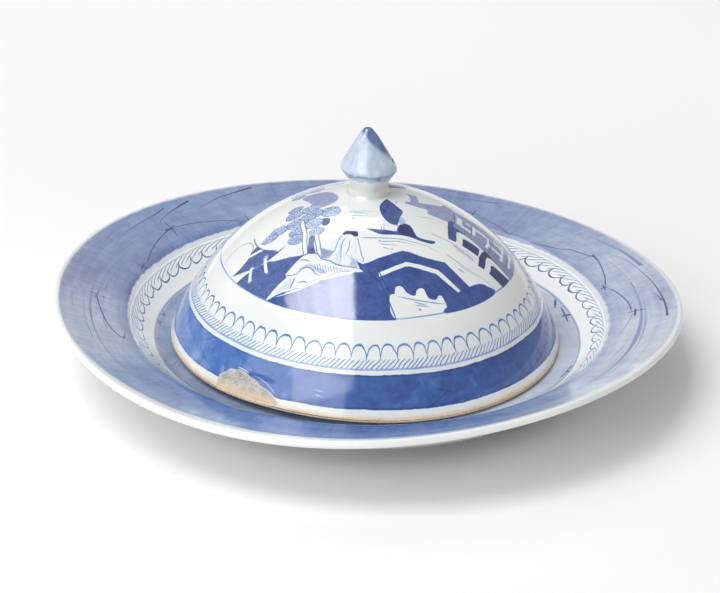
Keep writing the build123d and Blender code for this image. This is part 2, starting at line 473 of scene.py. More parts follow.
class Graph:
    """Short names for the nodes of one material. Inputs are numbers, colours or values."""

    def __init__(self, name):
        self.material = bpy.data.materials.new(name)
        self.material.use_nodes = True
        self.tree = self.material.node_tree
        self.tree.nodes.clear()
        self.out = self.tree.nodes.new("ShaderNodeOutputMaterial")
        self.shader = self.tree.nodes.new("ShaderNodeBsdfPrincipled")
        self.tree.links.new(self.shader.outputs[0], self.out.inputs[0])
        coords = self.tree.nodes.new("ShaderNodeTexCoord")
        scaled = self.tree.nodes.new("ShaderNodeVectorMath")
        scaled.operation = "SCALE"
        self.tree.links.new(coords.outputs["Object"], scaled.inputs[0])
        scaled.inputs["Scale"].default_value = 1 / MM
        self.where = Value(self, scaled.outputs[0])

    def put(self, socket, value):
        if isinstance(value, Value):
            self.tree.links.new(value.socket, socket)
        elif value is not None:
            socket.default_value = value

    def math(self, operation, a, b=None, c=None):
        node = self.tree.nodes.new("ShaderNodeMath")
        node.operation = operation
        for socket, value in zip(node.inputs, (a, b, c)):
            self.put(socket, value)
        return Value(self, node.outputs[0])

    def most(self, a, b):
        return self.math("MAXIMUM", a, b)

    def hypot(self, a, b):
        return self.math("SQRT", a * a + b * b)

    def angle(self, x, y):
        """Angle round the axis, in degrees."""
        return self.math("ARCTAN2", y, x) * (180 / pi)

    def cosine(self, angle):
        """Cosine of an angle in degrees."""
        return self.math("COSINE", angle * (pi / 180))

    def step(self, value, low, high):
        """0 below low, 1 above high, smooth between. High may be the lower number."""
        node = self.tree.nodes.new("ShaderNodeMapRange")
        node.interpolation_type = "SMOOTHSTEP"
        swap = high < low
        self.put(node.inputs["Value"], value)
        node.inputs["From Min"].default_value = high if swap else low
        node.inputs["From Max"].default_value = low if swap else high
        node.inputs["To Min"].default_value = 1.0 if swap else 0.0
        node.inputs["To Max"].default_value = 0.0 if swap else 1.0
        return Value(self, node.outputs[0])

    def between(self, value, low, high, soft):
        """1 from low to high, fading over soft on either side of each."""
        return self.step(value, low - soft, low + soft) * self.step(value, high + soft, high - soft)

    def noise(self, scale, detail=2.0, stretch=None, at=None, rough=0.5, bend=0.0):
        """Smooth noise, 0 to 1. Scale is the size of its blobs in millimetres."""
        node = self.tree.nodes.new("ShaderNodeTexNoise")
        vector = at or self.where
        if stretch:
            vector = self.stretched(vector, stretch)
        self.put(node.inputs["Vector"], vector)
        node.inputs["Scale"].default_value = 1 / scale
        node.inputs["Detail"].default_value = detail
        node.inputs["Roughness"].default_value = rough
        node.inputs["Distortion"].default_value = bend
        return Value(self, node.outputs[0])

    def about(self, value, size):
        """A value from 0 to 1, moved to lie about 0 and made as large as size."""
        return (value - 0.5) * size

    def wobble(self, size, scale, detail, **look):
        """Smooth noise about 0, as large as size."""
        return self.about(self.noise(scale, detail, **look), size)

    def cells(self, scale):
        """Distance to the nearest of many scattered points."""
        node = self.tree.nodes.new("ShaderNodeTexVoronoi")
        self.put(node.inputs["Vector"], self.where)
        node.inputs["Scale"].default_value = 1 / scale
        return Value(self, node.outputs["Distance"])

    def stretched(self, vector, by):
        node = self.tree.nodes.new("ShaderNodeVectorMath")
        node.operation = "MULTIPLY"
        self.put(node.inputs[0], vector)
        node.inputs[1].default_value = by
        return Value(self, node.outputs[0])

    def vector(self, x, y, z):
        node = self.tree.nodes.new("ShaderNodeCombineXYZ")
        for socket, value in zip(node.inputs, (x, y, z)):
            self.put(socket, value)
        return Value(self, node.outputs[0])

    def split(self, vector):
        node = self.tree.nodes.new("ShaderNodeSeparateXYZ")
        self.put(node.inputs[0], vector)
        return [Value(self, output) for output in node.outputs]

    def attribute(self, name, kind="Vector"):
        node = self.tree.nodes.new("ShaderNodeAttribute")
        node.attribute_name = name
        return Value(self, node.outputs[kind])

    def channels(self, name):
        """The four channels of a painted attribute."""
        node = self.tree.nodes.new("ShaderNodeAttribute")
        node.attribute_name = name
        rgb = self.tree.nodes.new("ShaderNodeSeparateColor")
        self.tree.links.new(node.outputs["Color"], rgb.inputs[0])
        outputs = (rgb.outputs[0], rgb.outputs[1], rgb.outputs[2], node.outputs["Alpha"])
        return [Value(self, output) for output in outputs]

    def ramp(self, value, stops):
        node = self.tree.nodes.new("ShaderNodeValToRGB")
        self.put(node.inputs[0], value)
        elements = node.color_ramp.elements
        while len(elements) < len(stops):
            elements.new(0.5)
        for element, (place, colour) in zip(elements, stops):
            element.position = place
            element.color = colour
        return Value(self, node.outputs[0])

    def mix(self, factor, a, b):
        node = self.tree.nodes.new("ShaderNodeMix")
        node.data_type = "RGBA"
        self.put(node.inputs["Factor"], factor)
        self.put(node.inputs[6], a)
        self.put(node.inputs[7], b)
        return Value(self, node.outputs[2])

    def blend(self, factor, a, b):
        """A number between a and b."""
        node = self.tree.nodes.new("ShaderNodeMix")
        node.data_type = "FLOAT"
        self.put(node.inputs["Factor"], factor)
        self.put(node.inputs[2], a)
        self.put(node.inputs[3], b)
        return Value(self, node.outputs[0])

    def painted(self):
        """What the shader's base colour is so far."""
        return Value(self, self.shader.inputs["Base Color"].links[0].from_socket)

    def paint(self, colour):
        self.put(self.shader.inputs["Base Color"], colour)

    def bump(self, height, depth, normal=None):
        """Height is in shares of depth, and depth is in millimetres."""
        node = self.tree.nodes.new("ShaderNodeBump")
        self.put(node.inputs["Height"], height)
        node.inputs["Strength"].default_value = 1.0
        node.inputs["Distance"].default_value = depth * MM
        self.put(node.inputs["Normal"], normal)
        return Value(self, node.outputs[0])


GLAZE = linear(228, 231, 225)
GLAZE_COOL = linear(219, 224, 223)
SPECK = linear(92, 84, 74)
INK = linear(22, 26, 60)
RUST = linear(220, 158, 104)
IRON_SPOT = linear(186, 124, 72)
NECK_GREEN_AND_SHADE = linear(172, 180, 164)
# painted light for the white bend round the dish's well
WELL_LIGHT_WHITE = linear(246, 248, 246)
GLAZE_IOR = 1.85
# the blues at these strengths of the wash, from white glaze to the darkest line
STRENGTHS = (0.0, 0.2, 0.42, 0.65, 0.85, 1.0)


def palette(*colours):
    """The stops of a colour ramp, one colour for each of STRENGTHS."""
    return [(place, linear(*colour)) for place, colour in zip(STRENGTHS, colours)]


COBALT = palette(
    (229, 232, 227), (190, 205, 222), (128, 156, 202), (62, 108, 176), (30, 66, 136), (20, 38, 92)
)
VIOLET = palette(
    (229, 232, 227), (202, 206, 221), (156, 162, 196), (102, 112, 162), (60, 70, 126), (32, 37, 82)
)
DISH_COBALT = palette(
    (229, 232, 227), (197, 206, 218), (137, 158, 193), (79, 108, 163), (48, 68, 122), (28, 38, 78)
)
DISH_VIOLET = palette(
    (229, 232, 227), (203, 206, 217), (156, 161, 188), (104, 108, 150), (66, 68, 114), (38, 38, 76)
)
KNOB_BLUE = palette(
    (229, 232, 227), (203, 216, 224), (156, 176, 198), (102, 128, 164), (56, 84, 134), (30, 48, 94)
)


def plan_of(g):
    """Angle in degrees, distance along the profile, and zone, from the plan attribute."""
    x, y, zone = g.split(g.attribute("plan"))
    s = g.hypot(x, y)
    phi = g.angle(x, y)
    return phi, s, zone


def fold(g, phi, pitch, shift=0.0):
    """Place within one repeat of a border, from -0.5 to 0.5."""
    turns = phi * (1 / pitch) + shift
    return g.math("FRACT", turns) - 0.5


def arches(g, phi, s, pitch, apex, foot, line, reach, slant=0.0):
    """A border of brushed arches from apex to foot, as line strength. Reach is half a repeat."""
    sway = g.noise(7.0, 2.0) - 0.5
    heave = g.noise(5.0, 2.0, at=g.stretched(g.where, (1.3, 1.3, 1.3))) - 0.5
    leaning = phi + sway * (2.6 * pitch / 5) + (s - foot) * slant
    u = fold(g, leaning, pitch)
    high = (s + heave * 1.2 - foot) * (1 / (apex - foot))
    across = g.math("POWER", abs(u * 1.96), 2.4)
    up = g.math("POWER", abs(g.most(high, 0.0)), 2.0)
    ring = abs(g.math("SQRT", across + up) - 1.0)
    distance = ring * reach
    wide = (0.6 + g.noise(4.0, 1.0) * 0.8) * line
    strength = g.step(distance - wide, 0.14, -0.12)
    return strength * g.step(high, -0.1, 0.06)


def glaze(g, density, violet, dark, bare, blues=(COBALT, VIOLET)):
    """White porcelain under a clear glaze, with blue painted below it."""
    mottle = g.noise(26.0, 3.0)
    speck = g.step(g.cells(3.4), 0.06, 0.03)
    speck = speck * g.step(g.noise(13.0, 1.0), 0.58, 0.66)
    white = g.mix(g.step(mottle, 0.35, 0.7), GLAZE, GLAZE_COOL)
    density = g.math("MINIMUM", density, 1.0)
    cobalt, lilac = blues
    blue = g.mix(violet, g.ramp(density, cobalt), g.ramp(density, lilac))
    painted = g.mix(g.step(density, 0.0, 0.08), white, blue)
    painted = g.mix(dark * 0.75, painted, INK)
    painted = g.mix(speck * 0.45, painted, SPECK)
    clay_grain = g.noise(0.7, 3.0, rough=0.7)
    clay = g.ramp(
        clay_grain * 0.7 + g.noise(6.0, 2.0) * 0.3,
        [(0.3, linear(150, 122, 92)), (0.42, linear(211, 186, 154)), (0.7, linear(231, 216, 192))],
    )
    g.paint(g.mix(bare, painted, clay))
    gloss = 0.07 + g.noise(9.0, 3.0) * 0.06
    g.put(g.shader.inputs["Roughness"], g.blend(bare, gloss, 0.8))
    g.shader.inputs["IOR"].default_value = GLAZE_IOR
    waves = g.bump(g.noise(14.0, 1.0), 0.12)
    peel = g.bump(g.noise(2.6, 2.0), 0.012, waves)
    grain = g.bump(clay_grain * bare, 0.25, peel)
    g.put(g.shader.inputs["Normal"], grain)


# --- cover ---

CROWN_ANGLE = np.arcsin(-DOME_OFFSET / DOME_SPHERE)
COVER_EDGE = 84.6
# the cover's borders, as distances along its profile from the axis
PICTURE_EDGE = 53.0
ARCH_TOP, ARCH_FOOT = 60.9, 65.7
RAIN_TOP, RAIN_MIDDLE, RAIN_FOOT = 65.2, 66.6, 68.5
BASE_LINE = 68.3
BAND_TOP, BAND_FOOT = 69.9, 80.5
BARE_FROM = 82.6
INSIDE_EDGE = 91.5


def dome_radius(s):
    """Radius of the cover at a distance along its outer face."""
    return DOME_OFFSET + DOME_SPHERE * np.sin(CROWN_ANGLE + s / DOME_SPHERE)


def cover_profile():
    """Outer dome, rounded rim and inner dome."""
    outer = [
        (dome_radius(s), DOME_CENTRE + DOME_SPHERE * cos(CROWN_ANGLE + s / DOME_SPHERE))
        for s in np.arange(0, COVER_EDGE - 0.9, 0.4)
    ]
    inner_radius = DOME_SPHERE - COVER_WALL
    base_angle = np.arccos((FLOOR_TOP - DOME_CENTRE) / inner_radius)
    top_angle = np.arcsin(-DOME_OFFSET / inner_radius)
    out_r = DOME_OFFSET + sqrt(DOME_SPHERE**2 - (FLOOR_TOP - DOME_CENTRE) ** 2)
    in_r = DOME_OFFSET + inner_radius * sin(base_angle)
    rim = rounded(
        [
            (
                dome_radius(COVER_EDGE - 1.0),
                DOME_CENTRE + DOME_SPHERE * cos(CROWN_ANGLE + (COVER_EDGE - 1.0) / DOME_SPHERE),
            ),
            (out_r, FLOOR_TOP),
            (in_r, FLOOR_TOP),
            (
                DOME_OFFSET + inner_radius * sin(base_angle - 0.02),
                DOME_CENTRE + inner_radius * cos(base_angle - 0.02),
            ),
        ],
        (0.8, 0.7),
        0.25,
    )
    inner = [
        (DOME_OFFSET + inner_radius * sin(a), DOME_CENTRE + inner_radius * cos(a))
        for a in np.linspace(base_angle - 0.03, top_angle, 70)
    ]
    return Profile(outer + list(rim) + inner)


COVER = cover_profile()
LEAN_X, LEAN_Y = 0.0156, 0.0065
SHIFT_X, SHIFT_Y, LIFT = -0.44, -0.39, 0.93


def lean(p):
    """The cover rocks on the warped dish: its left and near sides stand a little proud."""
    rise = p[..., 2] - FLOOR_TOP
    return np.stack(
        [
            p[..., 0] + LEAN_X * rise + SHIFT_X,
            p[..., 1] + LEAN_Y * rise + SHIFT_Y,
            p[..., 2] + LIFT - LEAN_X * p[..., 0] - LEAN_Y * p[..., 1],
        ],
        -1,
    )


GAP_PHI = -114.0
CHIP_PHI = -126.5
CHIP = [
    (-137, 82.2), (-136.8, 79.6), (-134.6, 77.8), (-133.6, 76.6), (-131.4, 76.2), (-130.2, 75.6),
    (-127.4, 75.9), (-126.2, 76.9), (-124, 77.3), (-121.6, 78.6), (-119, 79.2), (-116.6, 80.6), (-115, 82),
    (-115.4, 83.3), (-126, 83.4), (-136.4, 83.3),
]


def cover_place(flat):
    """The cover in space: turned, warped along its rim, chipped at one place and leaning."""
    t = np.linalg.norm(flat, axis=1)
    phi = np.arctan2(flat[:, 1], flat[:, 0])
    r, z = COVER(t)
    wave = smooth_step(t, 74, 84) * (1 - smooth_step(t, 88, 96))
    z = z + wave * (ripple(phi, 5, (5, 8, 13, 21), 0.16) - 0.1)
    r = r + wave * ripple(phi, 8, (7, 11, 17, 29), 0.10)
    z = z + wave * 0.75 * np.exp(-(((np.degrees(phi) - GAP_PHI) / 24) ** 2))
    r = r + smooth_step(t, 10, 40) * ripple(phi, 3, (2, 3, 5), 0.12) * (t < 110)
    # the chip: a scoop broken out of the outer edge
    across = (np.degrees(phi) - CHIP_PHI) / 10.0
    down = smooth_step(t, 75.2, 76.6) * (1 - smooth_step(t, 79.0, 84.2))
    scoop = np.clip(1 - across**2, 0, 1) ** 0.4 * down
    r = r - 0.4 * scoop
    return lean(np.stack([r * np.cos(phi), r * np.sin(phi), z], -1))


def spot(x, y):
    """A place on the plan as (phi, s), with phi counted from -270 to 90."""
    phi = degrees(atan2(y, x))
    return (phi - 360 if phi > 90 else phi), hypot(x, y)


def tree(c):
    """A pine with clumps of needles drawn as fans, over white forked trunks."""
    c.patch([
        (-137, 20.2), (-134, 19.3), (-131, 19), (-129, 19.6), (-127, 21), (-127.6, 22), (-130.5, 22.7),
        (-133, 22),
    ], DEEP, True)
    clumps = [
        (-171, 24, 2.5, 1.9), (-160, 19.7, 3.1, 2.3), (-163, 25.4, 2.9, 2.1), (-137.5, 16.3, 3.1, 2.5),
        (-150, 20, 2.8, 2.1), (-150, 22.9, 3.0, 2.0), (-140, 23.3, 3.2, 2.2), (-131, 25.6, 2.5, 1.8),
        (-153, 27, 3.0, 2.1), (-144, 28.4, 3.1, 2.0), (-157, 32.5, 3.3, 2.2), (-156, 36, 3.0, 1.7),
        (-139.5, 31, 2.9, 2.1),
    ]
    for number, (phi, s, wide, tall) in enumerate(clumps):
        x, y = s * cos(radians(phi)), s * sin(radians(phi))
        rim = [
            spot(
                x + wide * cos(a) * (1 + 0.07 * sin(5 * a + number)),
                y + tall * sin(a) * (1 + 0.08 * cos(4 * a + number)),
            )
            for a in np.linspace(0.25 * number, 0.25 * number + 2 * pi, 15)[:-1]
        ]
        c.patch(rim, LEAF, True, 0.35)
        c.stroke(rim + rim[:1], 0.4, LEAF_LINE, True, (0.4, 0.4), 0.9)
        for a in np.linspace(-0.35, pi + 0.35, 9):
            near = spot(x + 0.22 * wide * cos(a), y - 0.45 * tall + 0.2 * tall * sin(a))
            far = spot(x + 0.86 * wide * cos(a), y - 0.3 * tall + 1.05 * tall * max(sin(a), -0.2))
            c.stroke([near, far], 0.26, LEAF_LINE, False, (0.4, 1.0), 0.75)
    c.stroke(
        [(-152, 24.2), (-146, 25.7), (-138, 27.8), (-132, 31), (-126.8, 34.2)], 1.9, LEAF_LINE, True,
        (0.3, 1),
    )
    c.stroke([
        (-151.4, 24.4), (-146, 25.8), (-138, 27.9), (-132, 31.1), (-126.4, 34.4),
    ], 1.3, CLEAR, True, (0.4, 1))
    c.stroke([(-129, 26.8), (-123, 30), (-118, 33.6)], 1.8, LEAF_LINE, True, (0.6, 1))
    c.stroke([(-128.6, 27), (-123, 30), (-117.6, 33.8)], 1.2, CLEAR, True, (0.8, 1))
    c.patch([
        (-132, 27.6), (-130, 27.3), (-127.5, 28.8), (-124, 31.5), (-121.2, 33.2), (-124.5, 33.8),
        (-125.8, 34.2), (-127.5, 32.5), (-130.5, 30), (-132.5, 28.6),
    ], FAR_HILL, True)
    c.patch([
        (-119.3, 30.8), (-111, 31), (-112, 33), (-113.6, 34.2), (-116.5, 34.3), (-118, 33),
    ], LAVENDER, False, 0.35)


def rocks(c):
    """A tall capped rock beside the pine."""
    body = [
        (-110.6, 24.4), (-111.3, 27), (-110.7, 30), (-111.2, 31.5), (-113, 34.4), (-106, 36), (-98, 36.6),
        (-93.2, 35), (-92.8, 33.2), (-93.8, 31.5), (-95.2, 29), (-96.6, 27), (-98, 24.6), (-101.5, 23.6),
        (-106, 23.4),
    ]
    c.patch(body, CLEAR, True)
    c.patch([
        (-109.6, 27), (-108.6, 30), (-109.4, 32), (-107, 35.4), (-103.8, 35.8), (-106, 33), (-107, 30),
        (-107.6, 27.4),
    ], FAINT, True, 0.9)
    c.patch([
        (-101, 32), (-99.4, 33.8), (-100.4, 36), (-95.8, 36), (-95.4, 33.4), (-97.6, 32.6),
    ], PALE, True, 0.9)
    c.stroke([(-99.4, 25.2), (-98.6, 28), (-97.4, 31.4)], 1.0, FAINT, True, (0.2, 0.4), 0.9)
    for points in (
        [(-110.6, 24.6), (-111.3, 27), (-110.7, 30), (-111.2, 31.5), (-113, 34.2)],
        [(-98, 24.8), (-96.6, 27), (-95.2, 29), (-93.8, 31.5), (-92.6, 33), (-93.4, 34.2)],
        [(-107.4, 25.4), (-107.8, 28), (-106.6, 31), (-105.4, 33.6)],
        [(-103.4, 26), (-102.6, 29), (-103.6, 31.6)],
    ):
        c.stroke(points, 0.4, SOFT_LINE, True, (0.7, 0.3))
    c.patch([
        (-110.6, 24), (-110, 23), (-108.5, 22.3), (-104, 22.1), (-100, 22), (-98.8, 22.4), (-98.2, 24),
        (-99.5, 24.3), (-101.5, 24.1), (-104, 23.5), (-107.5, 23.8), (-109, 24.2),
    ], DEEP, True)


def long_rock(c):
    """A long white rock that reaches over the water in humps."""
    upper = [
        (-131.8, 53), (-131.2, 50), (-130, 46.5), (-128.6, 44), (-130, 43.5), (-129.5, 41.2),
        (-128.8, 38.2), (-127.8, 36.2), (-126.8, 35), (-124.8, 34), (-120, 33.3), (-117.8, 34),
        (-115.5, 34.6), (-110.5, 34.8), (-107, 35.6), (-100, 35.9), (-95.5, 36.1), (-92.5, 37),
    ]
    lower = [
        (-95, 37.6), (-102, 37.7), (-107, 39), (-110.3, 41), (-111, 41.8), (-114.5, 42.2), (-116.8, 44.5),
        (-117.2, 45.6), (-120, 46), (-122, 46.7), (-123.3, 47.8), (-125.5, 48.5), (-128.5, 50.5),
        (-130.5, 52.5),
    ]
    c.patch(upper + lower, CLEAR, True)
    c.patch([
        (-125.6, 40.4), (-124, 39), (-121.4, 37.4), (-116, 37.8), (-110, 38.8), (-113, 39.8),
        (-117.6, 38.8), (-121, 38.5), (-123.4, 39.8),
    ], PALE, True, 0.7)
    c.patch([
        (-127.6, 45.2), (-124.6, 43), (-123.9, 46.4), (-126.4, 48.2), (-129.6, 50.6),
    ], FAINT, True, 0.7)
    c.stroke(upper, 0.44, LEAF_LINE, True, (0.6, 0.3))
    c.stroke(lower, 0.36, LINE, True, (0.5, 0.5), 0.8)
    for points in (
        [
            (-129.6, 43.6), (-127, 42.9), (-124.6, 41.8), (-123.6, 39.8), (-121, 38.6), (-117.5, 39.2),
            (-115.5, 40.1), (-112.5, 40.4),
        ],
        [(-124.2, 43), (-123.9, 47.2)],
        [(-122, 44.5), (-119.5, 43.5), (-117.8, 43.7), (-116.8, 44.5)],
        [(-127.6, 37.2), (-124.6, 36.4), (-121.4, 36.6)],
    ):
        c.stroke(points, 0.4, LINE, True, (0.6, 0.3))
    for k in range(13):
        phi = -118 + 1.45 * k
        c.stroke([(phi, 37.2 - 0.03 * k), (phi + 1.6, 39.0 - 0.08 * k)], 0.3, LINE, True, (0.9, 0.3), 0.7)
    for k in range(6):
        phi = -127.5 + 1.1 * k
        c.stroke([(phi, 45.4 + 0.5 * k), (phi - 0.5, 49 - 0.2 * k)], 0.28, PALE, True, (0.9, 0.2))


def left_shore(c):
    """Hills and a roofed bank to the left of the long rock."""
    c.patch([
        (-181, 11), (-170, 10.2), (-160, 10.4), (-153, 11.6), (-151.5, 14), (-154, 17), (-163, 18.4),
        (-176, 19.5), (-192, 22), (-196, 16), (-190, 12.4),
    ], LAVENDER, True, 0.6)
    c.patch([
        (-163, 41.4), (-169, 43), (-170, 47), (-168, 51), (-164, 52.9), (-156, 52.9), (-154.6, 49),
        (-156, 44), (-159, 41.8),
    ], CLEAR, True)
    c.stroke([
        (-156, 52.6), (-154.8, 49), (-156, 44.4), (-160, 41.6), (-165, 41.4), (-169, 44), (-170, 48),
        (-168.5, 51.5),
    ], 0.4, SOFT_LINE)
    for k in range(5):
        c.stroke([(-166 + 1.8 * k, 43.4), (-166.6 + 1.9 * k, 47.6)], 0.25, PALE, True, (0.3, 0.2))
    c.patch([
        (-141.8, 33.6), (-143.2, 37.4), (-153, 40), (-158.6, 40.4), (-158, 43), (-155.5, 45.2),
        (-154.8, 50), (-155.4, 52.4), (-150, 48), (-146, 44.4), (-143.6, 41), (-142.2, 38),
    ], FAR_HILL, False)
    c.patch([
        (-143.4, 41.8), (-140, 40.6), (-134, 37.4), (-127, 34.9), (-121, 34.8), (-121, 42), (-125, 49),
        (-131.6, 53), (-150.5, 53), (-149.4, 49.5), (-147.5, 46),
    ], FAR_HILL, False)
    c.stroke([(-167, 39.7), (-160, 40.3), (-152, 39.6), (-144.5, 37.4)], 0.6, LEAF_LINE, True, (0.3, 0.5))
    for a, b in (
        ((-145.6, 42), (-140, 45)), ((-148.8, 46.8), (-145, 49.8)), ((-153.6, 40.4), (-156.4, 44.4)),
        ((-150, 48.8), (-154.6, 52.6)),
    ):
        c.stroke([a, b], 1.25, CLEAR, False, (1, 1))


def bridge_hill(c):
    """The near hill, and the arched bridge with its white parapet and three openings."""
    c.patch([
        (-132, 53.2), (-129, 51.4), (-122, 48), (-117.5, 45.4), (-112, 42), (-104, 39.4), (-96, 37.6),
        (-92, 36.8), (-88, 38), (-84.8, 41), (-81.5, 46), (-80, 50), (-79, 53.3),
    ], HILL, False)
    crest = [
        (-96, 33.9), (-93, 34.6), (-90, 34), (-84.5, 32.4), (-74.4, 30.7), (-69, 30.2), (-64.5, 31.1),
        (-57.8, 33.9), (-50, 36.6),
    ]
    c.patch(crest + [
        (-47.6, 37.4), (-46, 41), (-43, 48), (-59, 53.2), (-58, 51), (-80.6, 45.2), (-81, 47.5), (-84, 45),
        (-88, 40.5), (-92, 38), (-94, 36.6),
    ], HILL, False)
    c.patch([
        (-84.7, 37.4), (-75.6, 35.3), (-69, 34.3), (-62, 36), (-54, 39.1), (-52.2, 41.4), (-48.4, 48),
        (-50, 48), (-56, 40.2), (-63.3, 37.4), (-67.8, 36), (-70.6, 35.9), (-77.8, 37.2), (-84.7, 39),
    ], CLEAR, False, 0.16)
    c.patch([
        (-78.8, 53.1), (-80.6, 45.4), (-78.5, 45), (-77.8, 43), (-76.2, 42.3), (-74.4, 42.8), (-73.4, 44.4),
        (-71.6, 45.7), (-69.6, 46), (-68.4, 44.4), (-66.6, 43.9), (-65, 44.4), (-64.3, 47.4), (-61.4, 48.4),
        (-59.6, 47.3), (-58.2, 47.6), (-57.9, 51), (-59, 53.1),
    ], CLEAR, True, 0.16)
    c.patch([
        (-59, 53.3), (-56, 50.6), (-50.4, 48.1), (-43.3, 47.6), (-37, 48.2), (-33.6, 50.2), (-32.8, 53.3),
    ], HILL, True)
    for a, b, w in (
        ((-77, 45.8), (-58.4, 50.3), 0.5), ((-71, 48), (-66, 49.6), 0.4), ((-71, 49), (-65, 50.2), 0.4),
        ((-70, 50.4), (-68.6, 50.9), 0.8),
    ):
        c.stroke([a, b], w, SOFT_LINE, False, (0.3, 0.3))
    c.stroke(
        [(-84.6, 40.4), (-82.6, 44), (-80.8, 48.4), (-79.2, 52.8)], 0.6, DARK_LINE, True, (0.5, 0.6), 0.8
    )
    c.stroke(crest, 0.4, DARK_LINE, False, (0.6, 0.6), 0.55)
    for a, b in (
        ((-85, 36), (-80, 45)), ((-92, 41.4), (-87.6, 41)), ((-95.6, 34), (-92, 37.6)),
        ((-90, 36.6), (-84.8, 40.6)),
    ):
        c.stroke([a, b], 0.5, DARK_LINE, True, (0.3, 0.3), 0.8)


def boat(c):
    """A boat with one dark sail."""
    c.patch([
        (-91.6, 20.5), (-84.4, 20.8), (-76, 21.3), (-69, 22.2), (-64.6, 22.5), (-62.6, 20.4), (-59, 19.8),
        (-54.8, 19.9), (-51.9, 21.2), (-52.4, 23.4), (-53.4, 25.8), (-50.4, 27.4), (-43.2, 29.7),
        (-46.4, 30.2), (-52.4, 28.2), (-58, 25.8), (-63.4, 24.4), (-71, 23.5), (-80, 23), (-86, 21.8),
    ], HILL, True)
    c.patch([
        (-66, 21.9), (-62.6, 20.6), (-59, 20), (-54.8, 20.1), (-52.1, 21.2), (-52.6, 23.4), (-53.6, 25.8),
        (-51, 27.2), (-57.6, 25.2), (-63, 23.8),
    ], DEEP, True, 0.5)
    c.stroke(
        [(-91.6, 20.5), (-84.4, 20.9), (-76, 21.4), (-69, 22.3), (-64.6, 22.6)], 0.45, DARK_LINE, True,
        (0.3, 0.6), 0.8,
    )
    for phi in (-79, -76.6, -63.6):
        c.stroke([(phi, 21.4), (phi + 0.6, 19.3)], 0.35, SOFT_LINE)
    c.patch([
        (-70.6, 10), (-66, 9.1), (-58, 8.2), (-50, 7.7), (-42.4, 7.6), (-44, 10.6), (-43.8, 14.4),
        (-47, 15.6), (-54, 16.8), (-59, 18.4), (-62.4, 19.7), (-66, 19.6), (-70.6, 18), (-74, 14.6),
        (-73.4, 11.6),
    ], SAIL, True)
    c.stroke([(-70, 10.4), (-58, 8.6), (-43.4, 8)], 0.5, DEEP, True, (0.3, 0.6))
    c.stroke([(-43.4, 8), (-44.6, 11), (-44.4, 14.6)], 0.45, DEEP, True, (0.6, 0.3))
    c.patch([(-59.4, 18.8), (-56, 17.3), (-52, 17), (-52.8, 19.4), (-56, 19.9), (-60, 19.9)], PALE, True)


def water(c):
    """Quick level strokes for ripples and cloud."""
    lines = [
        ([(-93.4, 24.4), (-80, 24.5), (-69, 25.3), (-60, 27.2), (-52, 30), (-46.6, 33.6)], 0.55),
        ([(-81, 25.8), (-69, 26.4), (-59, 28.6)], 0.5),
        ([(-80.5, 27), (-75, 27.3), (-70, 28)], 0.5),
        ([(-80.5, 28.3), (-75.5, 29)], 0.55),
        ([(-122, 14.9), (-109, 13.3), (-95.6, 12.5), (-82, 12.7)], 0.35),
        ([(-109, 14), (-99, 13.5), (-89, 13.6)], 0.4),
        ([(-108, 15.3), (-98, 15)], 0.35),
        ([(-109, 16.5), (-103, 16.5)], 0.6),
        ([(-43, 35.3), (-38, 41.7), (-33, 47.8), (-30.6, 51.6)], 0.4),
        ([(-40.8, 26.5), (-36, 30), (-32, 33.9), (-27, 41.7)], 0.35),
        ([(-33.4, 33.6), (-31, 37)], 0.7),
        ([(-31.6, 37.6), (-29.6, 40.4)], 0.7),
        ([(-42, 41.6), (-40.6, 43.2)], 0.7),
        ([(-40.6, 40), (-36, 45.6)], 0.35),
        ([(-43, 11), (-32, 10.3)], 0.4),
    ]
    for points, width in lines:
        c.stroke(points, width, SOFT_LINE, True, (0.8, 0.2))
    for k in range(8):
        c.stroke(
            [(-37 + 1.7 * k, 18.4 + 0.45 * k), (-31 + 1.5 * k, 20.6 + 0.55 * k)], 0.32, PALE, True,
            (0.3, 0.2), 0.9,
        )


